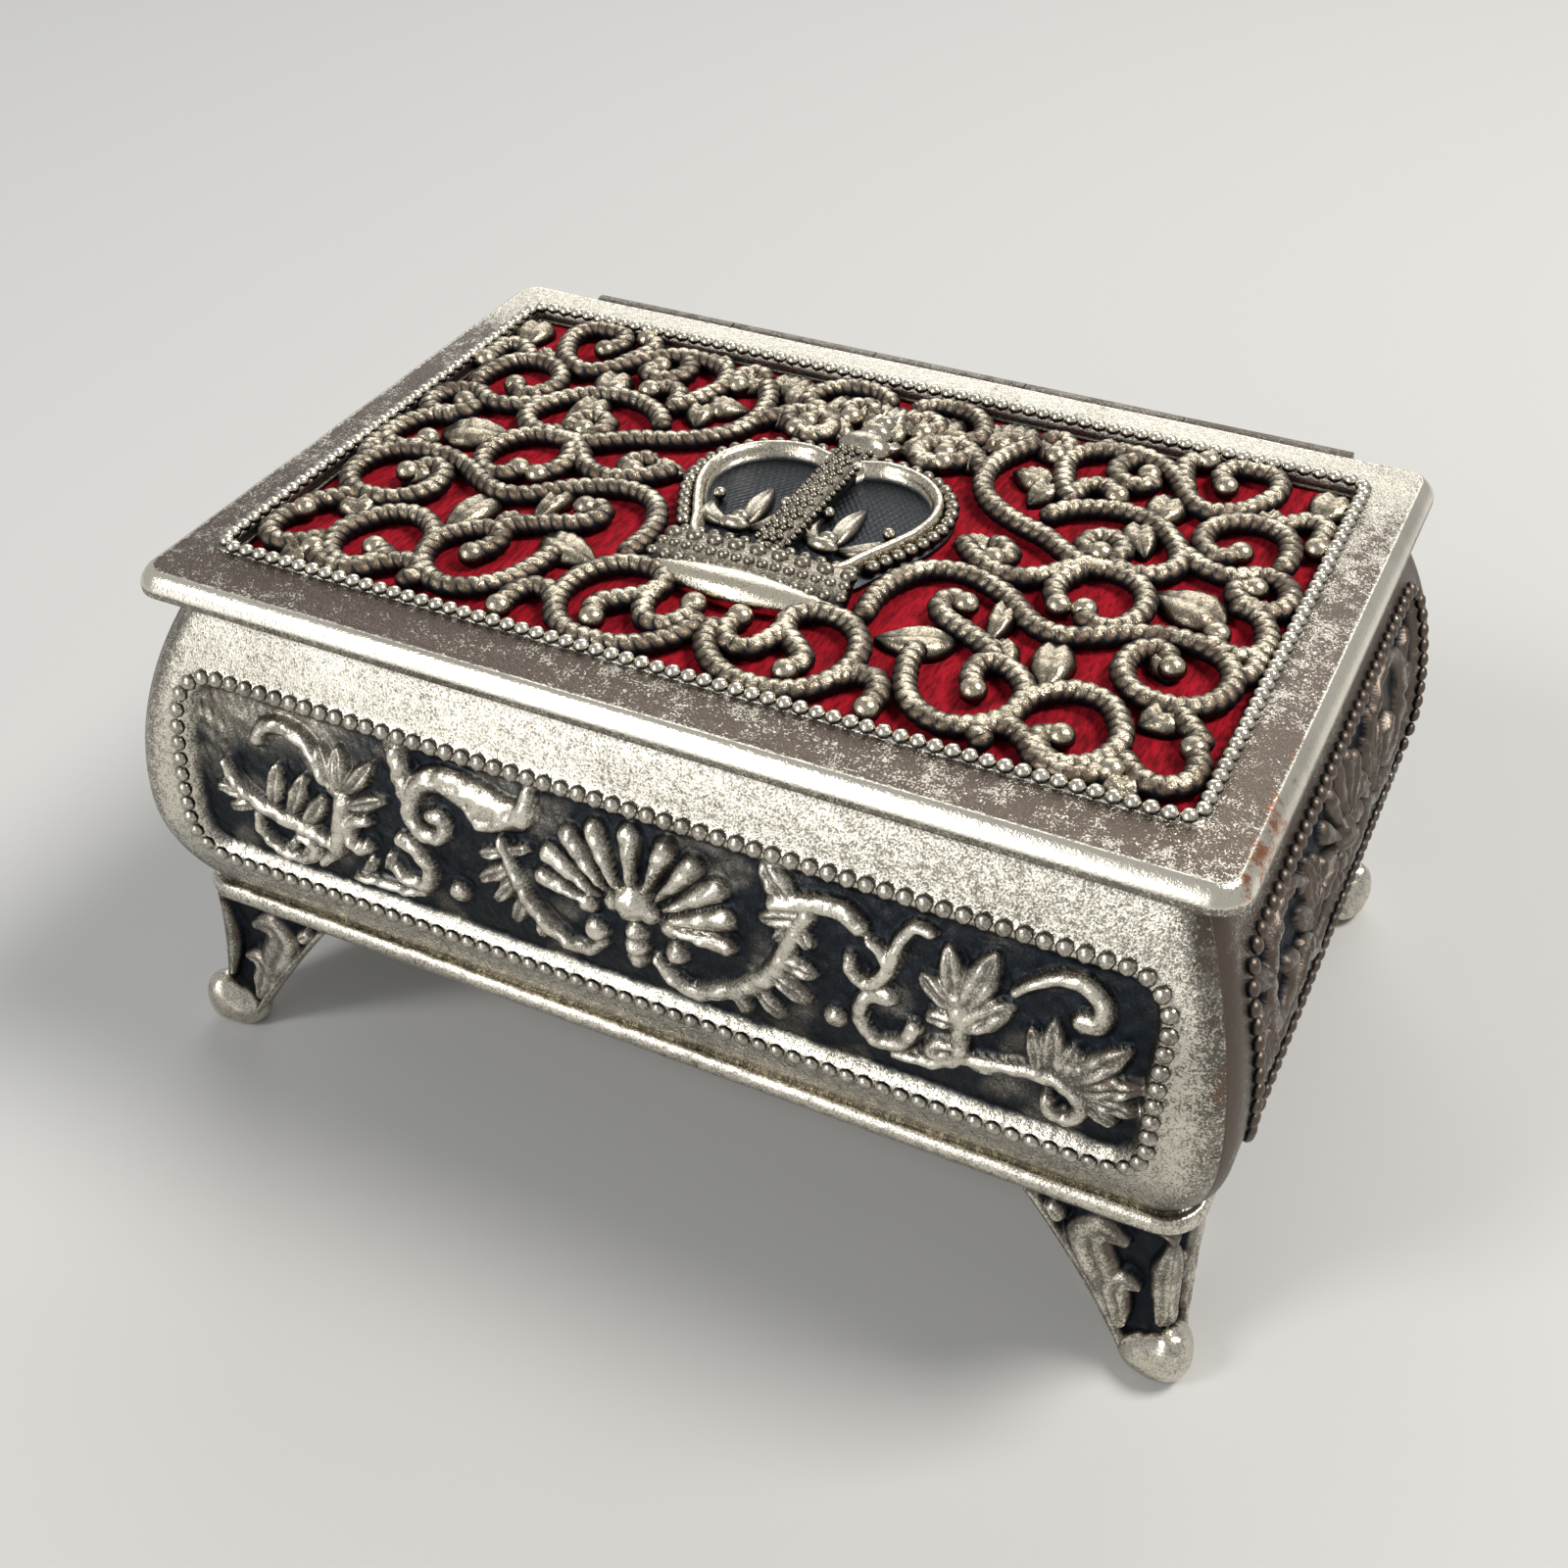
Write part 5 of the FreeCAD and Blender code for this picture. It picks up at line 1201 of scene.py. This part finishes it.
def closedCloth(upper, lower):
    # two faces of as many points, joined by a wall round their edges
    rows, cols = upper.shape[:2]
    n = rows * cols
    grid = gridFaces(rows, cols)
    index = np.arange(n).reshape(rows, cols)
    edge = np.concatenate([index[0], index[1:, -1], index[-1, -2::-1], index[-2:0:-1, 0]])
    after = np.roll(edge, -1)
    wall = np.stack([edge, edge + n, after + n, after], 1)
    points = np.concatenate([upper.reshape(-1, 3), lower.reshape(-1, 3)])
    return shell(points, [grid, grid[:, ::-1] + n, wall])


def slabSheet(halfX, halfY, low, high, cols, rows, bulge, seed, wobble):
    # thin closed cloth: an uneven upper face that falls by the bulge at its edges, over a flat one
    x, y = np.meshgrid(np.linspace(-halfX, halfX, cols), np.linspace(-halfY, halfY, rows))
    crownUp = (1 - (x / halfX) ** 4) * (1 - (y / halfY) ** 4)
    top = high + bulge * (crownUp - 1) + wobble * ripple(x, y, 0 * x, 7.0, seed) * crownUp
    return closedCloth(np.stack([x, y, top], -1), np.stack([x, y, low + 0 * x], -1))


def sidePad(distance, run, cols, rows, seed):
    # pad that follows the wall's swell, puffed towards the inside of the box
    s, c = velvet, casket
    z = np.linspace(c["wallZ"] + s["padLow"], c["rimZ"] - s["padDrop"], rows)
    t = np.linspace(-1, 1, cols)[:, None]
    v = np.linspace(-1, 1, rows)[None]
    zz = np.tile(z, (cols, 1))
    outer = (swell(z) - c["wallThick"] - s["padGap"])[None] + 0 * zz
    puff = s["padPuff"] * (1 - t ** 6) * (1 - v ** 6) + 0.04 * ripple(t * run, zz, 0 * zz, 6.0, seed)
    inner = outer - s["padThick"] - puff
    faces = (np.stack([t * (run + face), -(distance + face), zz], -1) for face in (inner, outer))
    return closedCloth(*faces)


def makeVelvet():
    # velvet behind the scrolls, lining under the lid, pads on the floor and the four walls
    s, c = velvet, casket
    cloth = slabSheet(s["halfX"], s["halfY"], s["top"] - s["thick"], s["top"], 120, 80, 0.0, 61, 0.04)
    under = slabSheet(s["halfX"], s["halfY"], -s["liningTop"], -s["liningLow"], 100, 70, 0.1, 62, 0.03)
    under = shell(under["points"] * [1, 1, -1], under["faces"])
    for name, node, part, finish in (("lidVelvet", "lid_velvet", cloth, lidVelvetCloth),
                                     ("lidLining", "lid_lining", under, liningCloth)):
        sheet = piece(name, [part], "lid", node, finish)
    floorLow, floorHigh = c["wallZ"] + s["floorGap"], c["wallZ"] + s["floorThick"]
    pads = [("Floor", slabSheet(s["floorX"], s["floorY"], floorLow, floorHigh, 100, 70, 0.10, 63, 0.05))]
    longPad = sidePad(c["halfY"], c["halfX"], 110, 40, 64)
    endPad = sidePad(c["halfX"], c["halfY"], 80, 40, 65)
    for (word, turn), pad in zip(sideTurns, (longPad, longPad, endPad, endPad)):
        pads.append((word, moved(pad, turn=turn)))
    for word, pad in pads:
        lining = piece("lining" + word, [pad], "box", "lining_" + word.lower(), liningCloth)


makeVelvet()


# CAD pieces that stay: hinge and backing card

def finishNode(node, material):
    # gives a node its finish and leaves its shape
    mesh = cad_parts[node].data
    mesh.materials.clear()
    mesh.materials.append(material)


for node in ("hinge_lid_leaf", "hinge_body_leaf", "hinge_pin"):
    finishNode(node, hingePlate)
finishNode("lid_board", cardBoard)
print("kept nodes finished")


# floor, light and camera

studio = {
    "floorColour": (0.62, 0.62, 0.615), "floorHalf": 3.0, "floorRough": 0.9,
    "floorFade": (0.5, 1.5, 1.0, 0.0), "worldStrength": 0.14,
    "worldColour": (0.93, 0.96, 1.0), "hazeColour": (0.50, 0.50, 0.50),
    "lens": 44.58, "sensor": 36.0, "azimuth": 26.64, "elevation": 38.87, "roll": -0.77,
    "cameraAt": (65.81, -135.81, 145.47),
    # place and size in metres, watts, colour; each lamp faces the middle of the floor
    "lamps": [((-0.45, 1.30, 0.95), 1.3, 9.5, (1.0, 0.99, 0.97)),
              ((-0.45, -1.20, 0.42), 0.9, 4.6, (0.98, 0.99, 1.0)),
              ((0.42, 0.20, 0.75), 0.28, 6.0, (1.0, 0.97, 0.91)),
              ((-0.55, -0.75, 0.80), 0.30, 4.5, (1.0, 0.99, 0.96))],
}


def lookAlong(place, back, roll):
    # placing matrix of a camera or lamp whose back points along back, rolled about its own view
    right = np.cross(-back, (0, 0, 1))
    right /= np.linalg.norm(right)
    up = np.cross(right, -back)
    right, up = (math.cos(roll) * right + math.sin(roll) * up, math.cos(roll) * up - math.sin(roll) * right)
    rows = [(right[k], up[k], back[k], place[k]) for k in range(3)]
    return Matrix(rows + [(0, 0, 0, 1)])


def makeFloor():
    # pale square that fades out with the distance from its middle
    s, half = studio, studio["floorHalf"]
    mesh = bpy.data.meshes.new("floor")
    corners = [(-half, -half, 0), (half, -half, 0), (half, half, 0), (-half, half, 0)]
    mesh.from_pydata(corners, [], [(0, 1, 2, 3)])
    floor = placed("floor", mesh)
    look = {"Base Color": (*s["floorColour"], 1), "Roughness": s["floorRough"]}
    material, tree, shader = newMaterial("paleFloor", look)
    far = tree.nodes.new("ShaderNodeVectorMath")
    far.operation = "LENGTH"
    tree.links.new(tree.nodes.new("ShaderNodeTexCoord").outputs["Object"], far.inputs[0])
    tree.links.new(between(tree, far.outputs["Value"], *s["floorFade"]), shader.inputs["Alpha"])
    mesh.materials.append(material)


def makeWorld():
    # soft light all round, and a plain haze to the camera, in reflections and through clear things
    s = studio
    world = bpy.data.worlds.new("softRoom")
    world.use_nodes = True
    tree = world.node_tree
    sky = tree.nodes["Background"]
    sky.inputs["Color"].default_value = (*s["worldColour"], 1)
    sky.inputs["Strength"].default_value = s["worldStrength"]
    haze = tree.nodes.new("ShaderNodeBackground")
    haze.inputs["Color"].default_value = (*s["hazeColour"], 1)
    ray = tree.nodes.new("ShaderNodeLightPath")
    seen = calc(tree, "MAXIMUM", ray.outputs["Is Camera Ray"], ray.outputs["Is Glossy Ray"])
    seen = calc(tree, "MAXIMUM", seen, ray.outputs["Is Transmission Ray"])
    either = tree.nodes.new("ShaderNodeMixShader")
    for index, value in enumerate((seen, sky.outputs[0], haze.outputs[0])):
        tree.links.new(value, either.inputs[index])
    tree.links.new(either.outputs[0], tree.nodes["World Output"].inputs["Surface"])
    bpy.context.scene.world = world


def makeStudio():
    # floor, world, square lamps and the camera
    s = studio
    makeFloor()
    makeWorld()
    for k, (place, width, watts, colour) in enumerate(s["lamps"]):
        lamp = bpy.data.lights.new("softbox%d" % k, "AREA")
        lamp.shape = "SQUARE"
        lamp.size = width
        lamp.energy = watts
        lamp.color = colour
        placed(lamp.name, lamp).matrix_world = lookAlong(place, np.array(place) / np.linalg.norm(place), 0.0)
    camera = bpy.data.cameras.new("camera")
    camera.lens = s["lens"]
    camera.sensor_width = s["sensor"]
    camera.sensor_fit = "HORIZONTAL"
    camera.clip_start = 0.01
    eye = placed("camera", camera)
    a, e = math.radians(s["azimuth"]), math.radians(s["elevation"])
    back = np.array([math.sin(a) * math.cos(e), -math.cos(a) * math.cos(e), math.sin(e)])
    eye.matrix_world = lookAlong([v * mm for v in s["cameraAt"]], back, math.radians(s["roll"]))
    bpy.context.scene.camera = eye
    bpy.context.scene.view_settings.view_transform = "Standard"


makeStudio()
print("studio ready")
